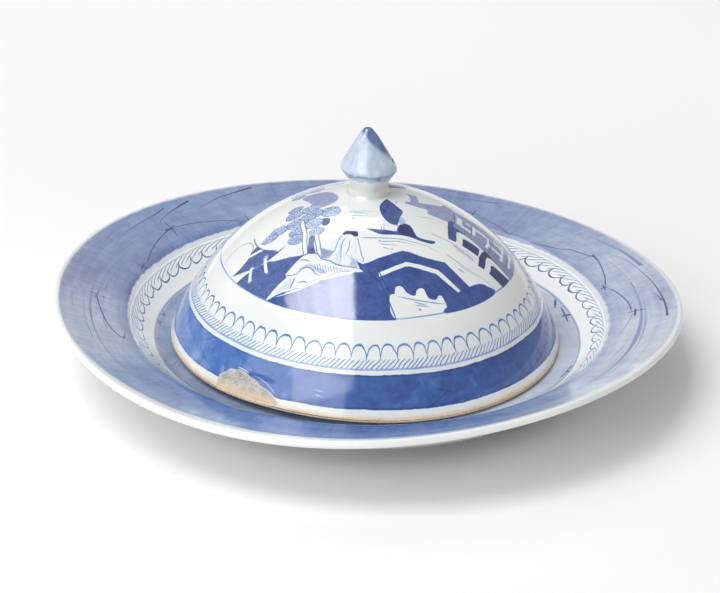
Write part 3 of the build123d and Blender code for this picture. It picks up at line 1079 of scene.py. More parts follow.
def pavilion(c):
    """Stepped roofs, dark posts and white fret beams at the right of the view."""
    # upper roof, grey-lavender, with a white wedge of sky let into its right side
    c.patch([
        (-15.8, 26.8), (-18, 24), (-20, 22), (-21.4, 20.3), (-18, 20), (-14.5, 19.2), (-18.5, 17),
        (-22, 14.5), (-26, 12.4), (-20, 12.2), (-14, 13.6), (2, 12.8), (12, 12), (12, 26), (8, 29),
        (-4, 29.2), (-11, 29.6),
    ], LAVENDER, False, 0.35)
    c.patch([(-7, 16), (2, 15.8), (13, 15.4), (13, 26), (6, 23.5), (0, 19.7)], CLEAR, False, 0.4)
    c.stroke([(-20.4, 21.8), (-15, 22.6), (-6, 23.4), (4, 27)], 0.5, SOFT_LINE, True, (0.4, 0.3), 0.7)
    c.stroke([(-14.5, 19.2), (-8, 19.4), (0, 22)], 0.45, SOFT_LINE, True, (0.4, 0.3), 0.6)
    c.patch([
        (-32.2, 30.9), (-28, 29.3), (-22, 27.8), (-16, 27), (-11, 27.2), (-11.4, 53.6), (-17.6, 53.6),
        (-17.2, 34), (-18.5, 31.6), (-20.5, 31), (-23, 31.4), (-26, 32.3), (-29.6, 33.2),
    ], HILL, False)
    c.patch([(-16.6, 29), (-10.6, 28.6), (-10.6, 53.6), (-17.2, 53.6), (-17, 40)], GREY, False, 0.4)
    c.stroke([
        (-28.5, 33.8), (-24, 32.6), (-21, 32), (-19, 32.5), (-18, 34.5), (-18, 39.5),
    ], 1.4, CLEAR, False, (1, 1))
    c.patch([
        (-28, 35.2), (-25, 34.6), (-22.8, 33.8), (-21, 34.4), (-20, 36), (-18.8, 39.8), (-24.8, 41),
        (-26, 38.5),
    ], DEEP, False)
    c.patch([
        (-30, 43.2), (-27, 42.2), (-24.5, 41.3), (-20, 41), (-16, 41.5), (-17.6, 47.6), (-18, 44.5),
        (-19.5, 43.2), (-22, 43.4), (-25, 44.4), (-28.4, 45.3),
    ], DEEP, False)
    c.stroke([
        (-28.2, 46.2), (-24, 45), (-20.8, 44.2), (-19, 45), (-18.4, 47), (-18, 53),
    ], 1.3, CLEAR, False, (1, 1))
    c.patch([
        (-27.4, 47.2), (-24.8, 46.8), (-22.2, 45.8), (-20.8, 46.6), (-20, 49), (-18.6, 53.4), (-25.6, 53.4),
        (-26.4, 50.5),
    ], DEEP, False)
    # lavender wash, with the frets left white in it
    c.patch([(-10.8, 28.8), (7, 28.2), (8, 40), (5, 53.2), (-10.8, 53.4)], LAVENDER, False, 0.5)
    for box in (
        (-9.4, 0.6, 29.5, 31.4), (-10.4, -8, 31.3, 35.2), (-10.4, 0, 35.3, 36.6), (-3.5, -0.5, 36.5, 41),
        (-12.5, -1, 40.9, 42.1), (-9, -6.8, 42, 47.4), (-12.4, 1, 47.2, 48.3), (-11.6, 0, 50.6, 51.6),
        (-2.6, -0.4, 32.8, 34.6), (-2.2, 0, 44, 47.3),
    ):
        low, high, top, foot = box
        c.patch([(low, top), (high, top - 0.3), (high, foot - 0.3), (low, foot)], CLEAR, False, 0.3)
    for points, width in (
        ([(-11.6, 28.8), (-4, 28.4), (3, 28.2)], 0.6), ([(-11.6, 35.2), (-6, 35), (0, 34.6)], 0.5),
        ([(-5, 37.4), (-5.4, 40.8)], 0.5), ([(-14, 42.8), (-8, 42.8), (-3, 42.2)], 0.55),
        ([(-12, 40.6), (-6, 41), (-2, 40.6)], 0.4), ([(-11, 45.4), (-10.6, 46.8)], 1.1),
        ([(-13.6, 49.8), (-6, 49.8), (0, 49.2)], 0.5), ([(-6, 31.9), (-5.6, 35)], 0.5),
        ([(-6.2, 43), (-6, 48)], 0.5),
    ):
        c.stroke(points, width, LINE, True, (0.8, 0.4), 0.8)
    c.stroke([(-33.5, 34.5), (-31, 38.5), (-30, 41.5)], 1.6, PALE, True, (0.4, 0.4), 0.8)


def cover_painting():
    """The landscape on the front, its copy behind, and the chip with the scratches beside it."""
    c = Canvas()
    left_shore(c)
    tree(c)
    rocks(c)
    bridge_hill(c)
    long_rock(c)
    boat(c)
    water(c)
    pavilion(c)
    # the far half repeats the same motifs in another order, turned round the knob
    c.turn, c.flip = 10.0, -1
    bridge_hill(c)
    long_rock(c)
    rocks(c)
    water(c)
    c.turn, c.flip = -8.0, -1
    tree(c)
    boat(c)
    c.turn, c.flip = 0.0, 1
    c.patch(CHIP, CLEAR, False, 0.8, 1.0)
    c.stroke([(-131, 74.9), (-128.5, 75), (-126.5, 75.5)], 0.34, SCRATCH, True, (0.5, 0.3), 0.8)
    c.stroke(
        [(-124.6, 75.6), (-121, 76.6), (-118.4, 77.9), (-116.4, 79.4)], 0.3, SCRATCH, True, (0.3, 0.3), 0.7
    )
    c.stroke([(-104.6, 77), (-102.6, 77.4)], 0.5, SCRATCH, True, (0.3, 0.3), 0.6)
    c.stroke([(-105, 75.6), (-102.4, 75.8)], 0.4, SCRATCH, True, (0.3, 0.3), 0.5)
    return c


def cover_material():
    """The cover's glaze: the landscape's blues, its borders, and the bare rim and chip."""
    g = Graph("cover_glaze")
    phi, s, zone = plan_of(g)
    density, violet, dark, hatch = g.channels("paint")
    bare = g.attribute("bare", "Fac")
    # ragged brush edges and streaky washes
    frayed = g.noise(0.9, 3.0)
    edge = density * (1.0 - density)
    density = density + edge * g.about(frayed, 1.2)
    streak = g.noise(6.0, 4.0, bend=0.6)
    pool = g.noise(2.2, 3.0)
    wash = g.about(streak, 0.2) + g.about(pool, 0.22)
    density = density + wash * density
    # needles of the pine
    swirl = g.noise(1.0, 3.0, stretch=(1.0, 1.0, 2.2), bend=1.6)
    density = density + hatch * ((g.step(swirl, 0.42, 0.62) - 0.4) * 0.34)
    # borders: ring line, arches, rain strokes, baseline and broad band
    drift = g.wobble(0.9, 18.0, 2.0)
    level = s + drift
    thin = g.between(level, PICTURE_EDGE - 0.25, PICTURE_EDGE + 0.25, 0.16) * (g.noise(11.0, 2.0) * 0.8)
    arch = arches(g, phi, level, 5.0, ARCH_TOP, ARCH_FOOT, 0.15, 2.3)
    arch = arch * (0.66 + g.noise(14.0, 1.0) * 0.5)
    lean_phi = phi + (level - RAIN_MIDDLE) * 1.0
    rain_place = abs(fold(g, lean_phi + g.wobble(1.3, 3.0, 1.0), 1.565))
    rain_top = RAIN_TOP + g.wobble(1.6, 2.5, 1.0)
    rain = g.step(rain_place, 0.27, 0.08) * g.step(level, RAIN_FOOT, RAIN_FOOT - 0.4)
    rain = rain * g.step(level - rain_top, -0.3, 0.5)
    rain = rain * (0.55 + g.noise(5.0, 2.0) * 0.6)
    base = g.between(level, BASE_LINE - 0.3, BASE_LINE + 0.3, 0.3) * (0.15 + g.noise(6.0, 2.0) * 0.75)
    band_edge = g.wobble(0.5, 2.0, 3.0)
    band_level = level + band_edge
    band = g.between(band_level, BAND_TOP, BAND_FOOT, 0.16)
    cloud = g.noise(8.0, 5.0, rough=0.62)
    patches = g.step(g.noise(11.0, 4.0, rough=0.6, bend=0.5), 0.54, 0.72)
    brush = g.noise(2.2, 4.0, rough=0.6)
    # painted shade and painted reflection: the band is laid denser towards the right front, as shade, and
    # thinner towards the left back, as the reflection of the light from the left
    turned = g.cosine(phi + 44.0)
    band_density = 0.65 + (g.about(cloud, 0.26) + g.about(brush, 0.2))
    band_density = band_density + (turned * 0.16 - patches * 0.15)
    rim_line = g.most(
        g.between(band_level, BAND_TOP, BAND_TOP + 0.6, 0.25),
        g.between(band_level, BAND_FOOT - 0.7, BAND_FOOT, 0.3),
    )
    band_density = band_density + rim_line * 0.07
    band_density = band_density * band
    lattice = abs(fold(g, phi + level * 2.2 + g.noise(14.0, 1.0) * 9.0, 31.0))
    cross = abs(fold(g, phi - level * 2.2 + g.noise(12.0, 1.0) * 8.0, 27.0))
    scratch = g.most(g.step(lattice, 0.014, 0.005), g.step(cross, 0.015, 0.005))
    scratch = scratch * g.step(g.noise(15.0, 1.0), 0.45, 0.6)
    band_density = band_density + scratch * band * 0.16
    border = g.most(g.most(thin, arch * 0.7), g.most(rain * 0.62, base * 0.8))
    top = 1.0 - g.step(zone, 0.0, 0.3)
    density = g.most(density, g.most(border, band_density)) * top
    cleared = hatch * g.step(s, 69.2, 69.8)
    density = density * ((1.0 - bare) * (1.0 - cleared))
    # bare rim: the glaze stops short of the edge, with a rusty line where it thins
    ragged = s + (g.wobble(1.1, 9.0, 3.0) + g.wobble(0.6, 1.4, 2.0))
    rim = g.step(ragged, BARE_FROM, BARE_FROM + 0.5) * g.step(s, INSIDE_EDGE, INSIDE_EDGE - 0.7)
    rust = g.between(ragged, BARE_FROM - 0.2, BARE_FROM + 0.3, 0.4) * (0.3 + g.noise(5.0, 2.0) * 0.7)
    whole = g.most(rim, bare)
    glaze(g, density, violet, dark, whole)
    painted = g.painted()
    rust_tint = g.mix(rust * 0.75, painted, RUST)
    gritty = g.noise(0.5, 3.0, rough=0.7) * 0.6 + g.noise(2.6, 2.0) * 0.4
    broken = g.ramp(
        gritty,
        [
            (0.32, linear(112, 112, 116)), (0.42, linear(160, 157, 152)), (0.54, linear(186, 181, 173)),
            (0.66, linear(208, 202, 192)),
        ],
    )
    granular = g.mix(bare * g.step(s, 83.2, 79.6), rust_tint, broken)
    g.paint(granular)
    return g.material


# --- dish ---

FLOOR_CORNER = 66.6
SHOULDER, SHOULDER_TOP = 77.6, 18.9
LIP, LIP_TOP = 98.4, 24.9
DISH_BENDS = (9.5, 8.0)
# the dish's borders, as radii on its upper face
WELL_LINE = 67.9
BORDER_OUT = 76.4


def dish_profile():
    """Well floor, cavetto, rim and rounded lip, then the underside with its foot ring."""
    top = rounded(
        [(0, FLOOR_TOP), (FLOOR_CORNER, FLOOR_TOP), (SHOULDER, SHOULDER_TOP), (LIP, LIP_TOP)], DISH_BENDS
    )
    edge = rounded([(LIP, LIP_TOP), (99.8, 25.2), (100.1, 22.7), (98.6, 22.4)], (1.1, 1.05), 0.25)
    bottom = rounded(
        [
            (LIP, 22.4), (79.6, 15.1), (69.1, 5.2), (58.6, 4.2), (58.0, 0.0), (54.4, 0.0), (53.2, 4.8),
            (0.0, 4.8),
        ],
        (8.0, 9.5, 1.5, 0.8, 0.8, 1.5),
    )
    return Profile(list(top) + list(edge[1:-1]) + list(bottom), by_radius_to=LIP)


DISH = dish_profile()


def dish_place(flat):
    """The dish in space: turned, then warped and out of round as the fired one is."""
    t = np.linalg.norm(flat, axis=1)
    phi = np.arctan2(flat[:, 1], flat[:, 0])
    r, z = DISH(t)
    # the rim sagged and lifted in the kiln, most of all at its lip
    saddle = 2.66 * np.cos(2 * phi + radians(61.6)) * (np.maximum(r - 67, 0) / 33) ** 1.3
    lifted = 0.05 - 1.75 * np.sin(phi) + 0.7 * np.cos(3 * phi + radians(150.6))
    lift = lifted * (np.maximum(r - 72, 0) / 28) ** 1.8
    round_off = 0.64 * np.cos(phi - radians(39)) + 0.35 * np.cos(2 * phi + radians(115.7))
    outward = smooth_step(r, 74, 99)
    r = r + outward * (round_off + ripple(phi, 11, (5, 9, 14), 0.10))
    x = r * np.cos(phi) + 0.44 * (1 - outward)
    y = r * np.sin(phi) + 0.40 * (1 - outward)
    z = z + saddle + lift - (0.0089 * x - 0.0017 * y) * smooth_step(r, 58, 70)
    return np.stack([x, y, z], -1)


RIM_LINE = ink(0.79, 1.0)
RIM_DARK = ink(0.9, 0.95, 0.08)
RIM_SOFT = ink(0.68, 1.0)
BRUSH_SEED = 21


def dish_painting():
    """Brush lines on the rim and in the well, laid over the washes of the material."""
    c = Canvas()
    rng = np.random.default_rng(BRUSH_SEED)

    def wander(size):
        return rng.uniform(-size, size)

    def line(points, width, tone=RIM_LINE, cover=0.85, ends=(0.5, 0.4)):
        """A stroke of the rim, laid a little wider and denser than it is asked for."""
        c.stroke(points, 1.18 * width, tone, True, ends, min(1.0, 1.15 * cover))

    # rings laid in several soft passes of the brush
    line([(168, 88), (150, 87.8), (132, 88.4), (112, 88.2)], 1.2, RIM_SOFT, 0.8, (0.2, 0.2))
    line([(215, 89.4), (196, 88.8), (180, 88.5), (160, 88.6)], 1.2, RIM_SOFT, 0.75, (0.2, 0.2))
    line([(215, 91), (196, 90.8), (178, 90.5), (160, 90.7)], 1.0, RIM_SOFT, 0.6, (0.2, 0.2))
    line([(205, 85.4), (190, 84.6), (174, 84.9), (158, 85.6)], 0.9, RIM_SOFT, 0.6, (0.2, 0.2))
    line([(12, 87.8), (0, 87.2), (-15, 87.0), (-30, 87.4), (-46, 88.2)], 2.4, RIM_SOFT, 0.7, (0.2, 0.2))
    line([(4, 88.6), (-10, 88.4), (-24, 88.8)], 1.6, RIM_SOFT, 0.6, (0.2, 0.2))
    line([(32, 88), (20, 88.2), (8, 88.0)], 0.8, RIM_SOFT, 0.6, (0.2, 0.2))
    line([(64, 88.4), (50, 88), (36, 88.4)], 0.8, RIM_SOFT, 0.45, (0.2, 0.2))
    for start, radius, run in ((-60, 87.6, 40), (-104, 88.2, 36), (-140, 87.8, 38), (100, 88.4, 34)):
        line([
            (start, radius), (start - run / 2, radius + 0.6), (start - run, radius - 0.2),
        ], 0.8, RIM_SOFT, 0.4, (0.2, 0.2))
    # thin zigzag lines of the border diaper, faint ones where the brush ran dry
    for points, cover in (
        ([(122.5, 78.5), (126, 81), (131, 83), (137, 85), (142, 86)], 0.85),
        ([(142, 86), (147, 84), (152, 82), (156, 80), (160, 78.5)], 0.85),
        ([(160, 79), (168, 81.5), (174, 84), (179, 86)], 0.5),
        ([(181, 86.8), (188, 85), (194, 83.5), (199, 81), (198.5, 79.8), (195, 78.6)], 0.85),
        ([(199, 80), (205, 83), (212, 85.5)], 0.45),
        ([(13.5, 80), (18, 82.3), (23, 84.5), (27, 86.3)], 0.8),
        ([(27.5, 86.5), (31, 84.8), (35, 83.5), (37, 81.5), (41, 80), (44, 78.5)], 0.85),
        ([(-2, 84.2), (2, 84), (7, 82.8), (11, 81.4), (13, 80)], 0.8),
        ([(-3, 84.5), (-9, 82.5), (-14, 80.5), (-16, 79.5)], 0.45),
        ([(52, 79), (56, 81.5), (61, 83.5), (64, 84.5)], 0.8),
        ([(66, 86), (74, 83), (82, 80), (86, 78.6)], 0.8),
        ([(87, 79), (94, 82), (100, 85), (104, 86)], 0.8),
        ([(104, 86), (112, 82.6), (121, 78.6)], 0.7),
        ([(-146, 79), (-140, 82), (-134, 85), (-130, 86)], 0.35),
        ([(-130, 86), (-122, 82.6), (-114, 79)], 0.35),
        ([(-112, 79.4), (-102, 83), (-95, 85.4)], 0.4),
        ([(-95, 85.6), (-86, 82), (-78, 79.2)], 0.4),
        ([(-76, 79.4), (-66, 83), (-58, 85.6)], 0.4),
        ([(-58, 86), (-48, 82.6), (-40, 79.4)], 0.4),
        ([(-38, 79.6), (-28, 83), (-18, 84.8)], 0.4),
    ):
        line(points, 0.55, RIM_LINE, cover, (0.5, 0.3))
    # stars where the lines meet, and single ticks
    for points, width, cover in (
        ([(142.5, 81.5), (141.5, 85), (141, 89.5)], 0.55, 0.9), ([(140.5, 85.3), (143.5, 86.2)], 1.1, 0.9),
        ([(139.5, 86.8), (144.5, 84.8)], 0.6, 0.8), ([(160.5, 77.2), (160.5, 82)], 0.55, 0.9),
        ([(158.5, 79.5), (162, 78.8)], 0.7, 0.9), ([(154, 81), (154, 82.8)], 0.5, 0.8),
        ([(181, 82), (180.6, 86), (180, 91)], 0.55, 0.6), ([(178.6, 86.4), (182.6, 87.2)], 0.8, 0.6),
        ([(13.4, 78), (13.2, 80.8)], 0.75, 0.95), ([(11.6, 79.4), (15, 79.8)], 0.6, 0.9),
        ([(29.2, 81.5), (29, 85), (29, 88)], 0.5, 0.9), ([(25.6, 85.6), (29.4, 86.8)], 0.7, 0.85),
        ([(-2.5, 82.8), (-2.3, 86), (-2.5, 88.5)], 0.55, 0.9), ([(-5, 85), (-1, 85.5)], 0.8, 0.85),
        ([(64.5, 84), (64.4, 88)], 0.7, 0.95), ([(62.6, 85.2), (66.6, 86)], 0.6, 0.85),
        ([(121.5, 78), (121.5, 82.5)], 0.6, 0.9), ([(104, 82), (104, 89)], 0.6, 0.85),
        ([(102, 85.4), (106.4, 86.4)], 0.8, 0.85), ([(86.4, 77.6), (86.6, 81.4)], 0.6, 0.85),
        ([(198.6, 77.4), (198.8, 82)], 0.5, 0.6), ([(44, 77), (43.6, 80.4)], 0.5, 0.8),
        ([(-130, 82), (-130, 89)], 0.55, 0.4), ([(-95, 82), (-95.4, 89)], 0.55, 0.4),
        ([(-58, 82.4), (-58, 89)], 0.55, 0.45),
    ):
        line(points, width, RIM_LINE, cover, (0.4, 0.3))
    # comma strokes near the lip, each thick at its last point
    for points, width, tone, cover in (
        ([(131, 89.8), (128, 91.5), (124, 93.5), (119, 95), (115.3, 96.3)], 0.9, RIM_DARK, 0.85),
        ([(142, 89), (141.5, 90.5), (138, 92.3), (134, 94), (131, 95.3)], 0.9, RIM_DARK, 0.85),
        ([(159, 90), (158.5, 91), (154, 92), (148, 93), (141, 94), (137.5, 95.4)], 0.8, RIM_LINE, 0.8),
        ([(176, 92), (175, 92.8), (166, 93.5), (158, 94.3), (154, 95.3)], 0.75, RIM_LINE, 0.65),
        ([(193.5, 93), (190, 93.8), (183, 94.5)], 0.7, RIM_LINE, 0.5),
        ([(220, 95), (208, 95.3), (195, 96)], 0.6, RIM_LINE, 0.3),
        ([(25, 91.8), (23, 92.8), (17, 93.4), (11, 93.8), (0, 94.5), (-8, 95)], 0.8, RIM_DARK, 0.8),
        ([(44, 92), (43, 92.8), (37, 93.8), (30, 94.5), (25, 95.2), (18, 95.2)], 1.4, RIM_SOFT, 0.7),
        ([(4.5, 92), (3, 93), (0, 93.8)], 0.8, RIM_LINE, 0.8),
        ([(75, 93.8), (66, 94), (61, 95)], 0.8, RIM_LINE, 0.8),
        ([(96, 91), (93, 92.6), (84, 94), (78, 95.4)], 0.9, RIM_LINE, 0.8),
        ([(114, 90), (111, 91.8), (104, 93.6), (98, 95.2)], 0.9, RIM_LINE, 0.8),
        ([(-22, 91.6), (-26, 92.8), (-34, 94), (-42, 94.8)], 0.8, RIM_SOFT, 0.5),
        ([(-54, 91.4), (-58, 92.6), (-66, 93.8), (-72, 94.4)], 0.8, RIM_SOFT, 0.5),
        ([(-86, 91.4), (-90, 92.4), (-98, 93.6), (-104, 94.2)], 0.8, RIM_SOFT, 0.5),
        ([(-120, 91.6), (-124, 92.6), (-132, 94), (-138, 94.8)], 0.8, RIM_SOFT, 0.4),
    ):
        line(points, width, tone, cover, (0.2, 1.0))
    # loose faint lines across the wash
    for k in range(80):
        phi = rng.uniform(-180, 180)
        r0 = rng.uniform(79, 94)
        run = rng.uniform(3, 9)
        c.stroke(
            [(phi, r0), (phi + run * 0.5, r0 + wander(1.0)), (phi + run, r0 + wander(2))],
            rng.uniform(0.45, 0.75), RIM_SOFT, True, (0.2, 0.15), rng.uniform(0.35, 0.75),
        )
    c.stroke([(133.8, 80.2), (134.3, 80.2)], 0.7, CLEAR, False, (1, 1))
    # quick crossed strokes in the well
    line([(12.5, 68.4), (13.5, 67), (14, 65.6)], 0.8, RIM_DARK, 0.9)
    line([(20, 66), (23.5, 68)], 0.7, RIM_DARK, 0.8)
    line([(10, 66.4), (18, 67.2)], 0.6, RIM_LINE, 0.8)
    line([(-21.5, 67), (-23, 68.3)], 0.8, RIM_DARK, 0.9)
    line([(-26, 66.6), (-18, 67.6)], 0.6, RIM_LINE, 0.7)
    for phi in (-196, -189, -183, -172, -160, 60, 100, 140, -120, -70):
        for k in range(4):
            c.stroke(
                [
                    (phi + wander(2), 68.2 + wander(0.4)), (phi + wander(3), 66),
                    (phi + wander(5), 63.2 + wander(1)),
                ],
                rng.uniform(0.45, 0.7), RIM_LINE, True, (0.6, 0.2), 0.65,
            )
        c.stroke(
            [(phi - 5, 66.4 + wander(1)), (phi + 5, 66.4 + wander(1))], 0.6, RIM_LINE, True, (0.2, 0.2), 0.6
        )
    for radius in (63.5, 64.8, 66.0, 67.2):
        for k in range(7):
            start = -180 + 51 * k + wander(9)
            c.stroke(
                [(start, radius), (start + 18, radius + wander(0.5)), (start + 38, radius + wander(0.8))],
                0.5, RIM_LINE, True, (0.3, 0.2), 0.45,
            )
    return c


def dish_material():
    """The dish's glaze: the washed rim, the hooked border of the well and the tinted floor."""
    g = Graph("dish_glaze")
    phi, s, zone = plan_of(g)
    density, violet, dark, _ = g.channels("paint")
    bare = g.attribute("bare", "Fac")
    drift = g.wobble(0.7, 22.0, 2.0)
    level = s + drift
    # broad wash of the rim, ragged along its inner edge, mottled and faintly hatched
    hatching = g.noise(0.9, 3.0, at=g.vector(phi, s * 0.1, 0.0))
    around = g.noise(1.0, 3.0, at=g.vector(phi * 0.035, s * 0.6, 3.0))
    fingers = g.noise(2.4, 3.0, at=g.vector(phi, s * 0.25, 0.0))
    ragged = g.about(fingers, 3.4)

    def toward(angle, low, high):
        """1 round one angle of the rim, falling to 0 away from it."""
        return g.step(g.cosine(phi - angle), low, high)

    front = toward(-92.0, 0.25, 0.85)
    right = toward(-14.0, 0.0, 0.95)
    left = toward(-148.0, 0.72, 0.96)
    vivid = toward(-131.0, 0.92, 0.995)
    lilac = toward(-176.0, 0.72, 0.98)
    edge_in = g.blend(left, BORDER_OUT + 1.0, BORDER_OUT) - toward(-40.0, 0.6, 0.95) * 0.5
    inner = g.step(level + ragged * 0.4 - edge_in, -0.4, 0.4)
    limit = g.blend(front, g.blend(left, 98.3, 99.0), 96.4)
    outer = g.step(s + ragged * 0.3 - limit, 0.9, -0.9)
    wash = inner * outer
    blotch = g.noise(21.0, 5.0, rough=0.6, bend=0.6)
    small = g.noise(5.0, 4.0, rough=0.6)
    tone = 0.5 + g.about(hatching, 0.15)
    tone = tone + g.about(around, 0.15)
    tone = tone + g.about(blotch, 0.26)
    tone = tone + g.about(small, 0.22)
    tone = tone - (right * 0.19 + left * (1.0 - vivid * 0.5) * 0.16)
    tone = tone - toward(-34.0, 0.8, 0.99) * 0.08
    inside_ring = g.step(level, 92.5, 86.5)
    tone = tone + front * inside_ring * 0.12
    tone = tone + vivid * g.step(level, 95.5, 90.0) * 0.01
    tone = tone + g.step(level, 82.5, 78.0) * 0.08
    rim = wash * tone
    # border of the well: ring, white ground, hooked arches with tails, and two pale rings
    line = g.between(level, WELL_LINE, WELL_LINE + 0.6, 0.4) * 0.46
    far = g.step(g.cosine(phi - 90.0), -0.2, 0.9)
    hook = arches(g, phi - 134.77, level, 4.865, 72.0, 74.2, 0.17, 2.4, 0.5)
    hook = hook * g.blend(far, 0.62, 0.8)
    sweep = (level - 73.8) * (2.2 + (level - 73.8) * 0.4)
    tails_at = phi + (sweep + g.wobble(1.6, 4.0, 1.0))
    tail_place = abs(fold(g, tails_at, 2.432, 0.61))
    tail = g.step(tail_place, 0.17, 0.05) * g.between(level, 73.5, 75.5, 0.35)
    tail = tail * (0.22 + g.noise(3.0, 1.0) * 0.6)
    rings = g.most(g.between(level, 75.2, 75.5, 0.25), g.between(level, 76.1, 76.4, 0.25))
    rings = rings * (g.noise(6.0, 2.0) * 0.3)
    fringe = g.between(level + ragged * 0.2, BORDER_OUT, BORDER_OUT + 1.0, 0.4) * 0.09
    # the well floor's wash is denser towards the front left, where it is both the floor's blue and painted
    # shade for the gap under the cover
    floor_wash_and_shade = 0.24 + toward(-150.0, 0.0, 0.9) * 0.16
    floor = g.step(level, 68.4, 67.6) * (floor_wash_and_shade + (g.about(blotch, 0.3) + g.about(small, 0.2)))
    border = g.most(g.most(line, hook), g.most(g.most(tail, rings), g.most(fringe, floor)))
    stroke = density * g.step(s, 60.0, 61.0)
    total = g.most(g.most(rim, border), stroke * g.most(wash, g.step(level, 68.6, 68.2)))
    top = 1.0 - g.step(zone, 0.0, 0.3)
    lean_violet = right * 0.1 + g.step(blotch, 0.3, 0.7) * 0.33
    lean_violet = lean_violet + lilac * 0.4
    lean_violet = lean_violet * (1.0 - g.most(front, vivid) * 0.85)
    tint = g.most(lean_violet * g.step(level, 75.5, 77.0), violet * g.step(density, 0.2, 0.6))
    # turned foot: bare on its sole
    down = g.split(g.where)[2]
    sole = g.step(down + g.wobble(0.5, 3.0, 2.0), 0.7, 0.45) * zone
    inked = dark * top * g.most(wash, g.step(level, 68.6, 68.2))
    glaze(g, total * top, tint, inked, g.most(bare, sole), (DISH_COBALT, DISH_VIOLET))
    # painted light: the white ground in the bend round the well is painted brighter, for the light it
    # catches there
    painted = g.painted()
    painted_light_well = g.between(level, 68.4, 76.8, 0.5) * top * g.step(total, 0.1, 0.0)
    g.paint(g.mix(painted_light_well, painted, WELL_LIGHT_WHITE))
    return g.material


# --- knob ---

SEAT = 58.4
KNOB_TOP = 80.0
CONE = radians(31.5)
TIP_BEND = 1.6
WIDEST_RISE = 8.6
VENT_RISE = 11.4
VENT_MARK_RISE = 12.0
KNOB_TILT = 0.034


def knob_profile():
    """Tip, pointed bud, waisted neck and the foot sunk into the crown."""
    apex = KNOB_TOP + TIP_BEND * (1 / sin(CONE) - 1)
    wide_z = SEAT + WIDEST_RISE
    wide_r = (apex - wide_z) * np.tan(CONE)
    return Profile(
        rounded(
            [
                (0.0, KNOB_TOP + 0.02),
                (1.1, KNOB_TOP - 0.12),
                (3.0, KNOB_TOP - 2.5),
                (7.3, wide_z + 3.3),
                (wide_r + 0.15, wide_z),
                (6.3, SEAT + 4.5),
                (6.0, SEAT + 2.4),
                (6.25, SEAT + 0.7),
                (7.2, SEAT - 0.4),
                (0.0, SEAT - 0.5),
            ],
            (0.8, 2.2, 9.0, 1.6, 1.6, 1.6, 0.9, 0.0),
            0.3,
        )
    )


KNOB = knob_profile()
VENT_PHI = -9.5


def knob_place(flat):
    """The knob in space, with its vent pressed in, leaning with the cover."""
    t = np.linalg.norm(flat, axis=1)
    phi = np.arctan2(flat[:, 1], flat[:, 0])
    r, z = KNOB(t)
    r = r * (1 + 0.012 * np.cos(2 * phi + 0.4) + 0.008 * np.cos(5 * phi))
    x = r * np.cos(phi)
    y = r * np.sin(phi)
    # vent: a small pit with a raised lip
    turn = radians(VENT_PHI)
    side = -x * sin(turn) + y * cos(turn)
    rise = z - (SEAT + VENT_RISE)
    off = np.hypot(side, rise)
    facing = (x * cos(turn) + y * sin(turn)) > 0
    pit = np.where(
        facing, np.exp(-((off / 0.75) ** 4)) * 2.4 - 0.25 * np.exp(-(((off - 1.1) / 0.45) ** 2)), 0
    )
    x = x - pit * cos(turn)
    y = y - pit * sin(turn)
    # the bud was luted on a little askew
    h = z - SEAT
    tilt = np.maximum(h - 2, 0)
    x = x - 0.25 - KNOB_TILT * tilt
    z = z - 0.045 * x * smooth_step(h, 3, 9)
    return lean(np.stack([x, y, z], -1))


def knob_material():
    """The knob's blue glaze, darkest at its tip and under its shoulder, with two iron spots."""
    g = Graph("knob_glaze")
    x, y, z = g.split(g.where)
    high = z - SEAT
    streak = g.noise(2.6, 3.0, stretch=(1.0, 1.0, 0.35), bend=0.5)
    density = g.blend(g.step(high, 8.0, 9.4), 0.04, 0.33)
    density = density + (streak - 0.5) * (0.36 * g.step(high, 7.4, 9.0))
    tip = g.step(high + (x + 0.6) * 0.9, 19.2, 21.0) * 0.42
    # painted reflection: the upper bud is painted paler towards its right side
    painted_reflection_right = g.step(x, -0.5, 5.5) * g.step(high, 9.0, 12.0) * 0.05
    ring = g.between(high + g.wobble(2.2, 2.4, 2.0), 6.9, 9.2, 0.5) * 0.34
    density = density + tip + ring - painted_reflection_right
    side = x * -sin(radians(VENT_PHI)) + y * cos(radians(VENT_PHI))
    rise = z - (SEAT + VENT_MARK_RISE)
    off = g.hypot(side, rise)
    facing = g.step(x, 2.0, 3.0)
    halo = g.step(off, 1.45, 1.1) * facing
    density = density * (1.0 - halo * 0.85)
    # painted shade: a dark ink spot stands in for the darkness inside the vent hole
    vent_shade = g.step(off, 1.05, 0.8) * facing
    glaze(g, density, 0.0, vent_shade, 0.0, (KNOB_BLUE, KNOB_BLUE))
    painted = g.painted()
    # two iron spots just under the shoulder, on the near side
    rust = painted
    for sx, sy, size in ((-5.6, -5.0, 1.0), (3.2, -7.3, 0.9)):
        gap = g.hypot(x - sx, y - sy)
        mark = g.step(gap + g.noise(0.8, 2.0) * 0.6, size + 0.3, size - 0.2)
        mark = mark * g.between(high, 7.7, 8.9, 0.4)
        rust = g.mix(mark * 0.85, rust, IRON_SPOT)
    # the neck's greenish glaze is its own colour, and its darkening towards the foot is painted shade
    neck_tint_and_shade = g.step(high, 7.8, 3.0) * 0.45
    g.paint(g.mix(neck_tint_and_shade, rust, NECK_GREEN_AND_SHADE))
    return g.material


# --- drainer ---

DRAINER_TOP = 15.4
DRAINER_THICK = 3.2
DRAINER_RADIUS = 50.0
HOLE_BEVEL = 0.75
HOLE_DIP = 0.45
# the finger hole and three rings of drain holes, as (x, y, radius)
HOLES = [(0.0, 0.0, 6.0)] + [
    (ring * cos(2 * pi * k / count), ring * sin(2 * pi * k / count), 2.0)
    for ring, count in ((15.0, 8), (25.5, 14), (36.0, 20))
    for k in range(count)
]


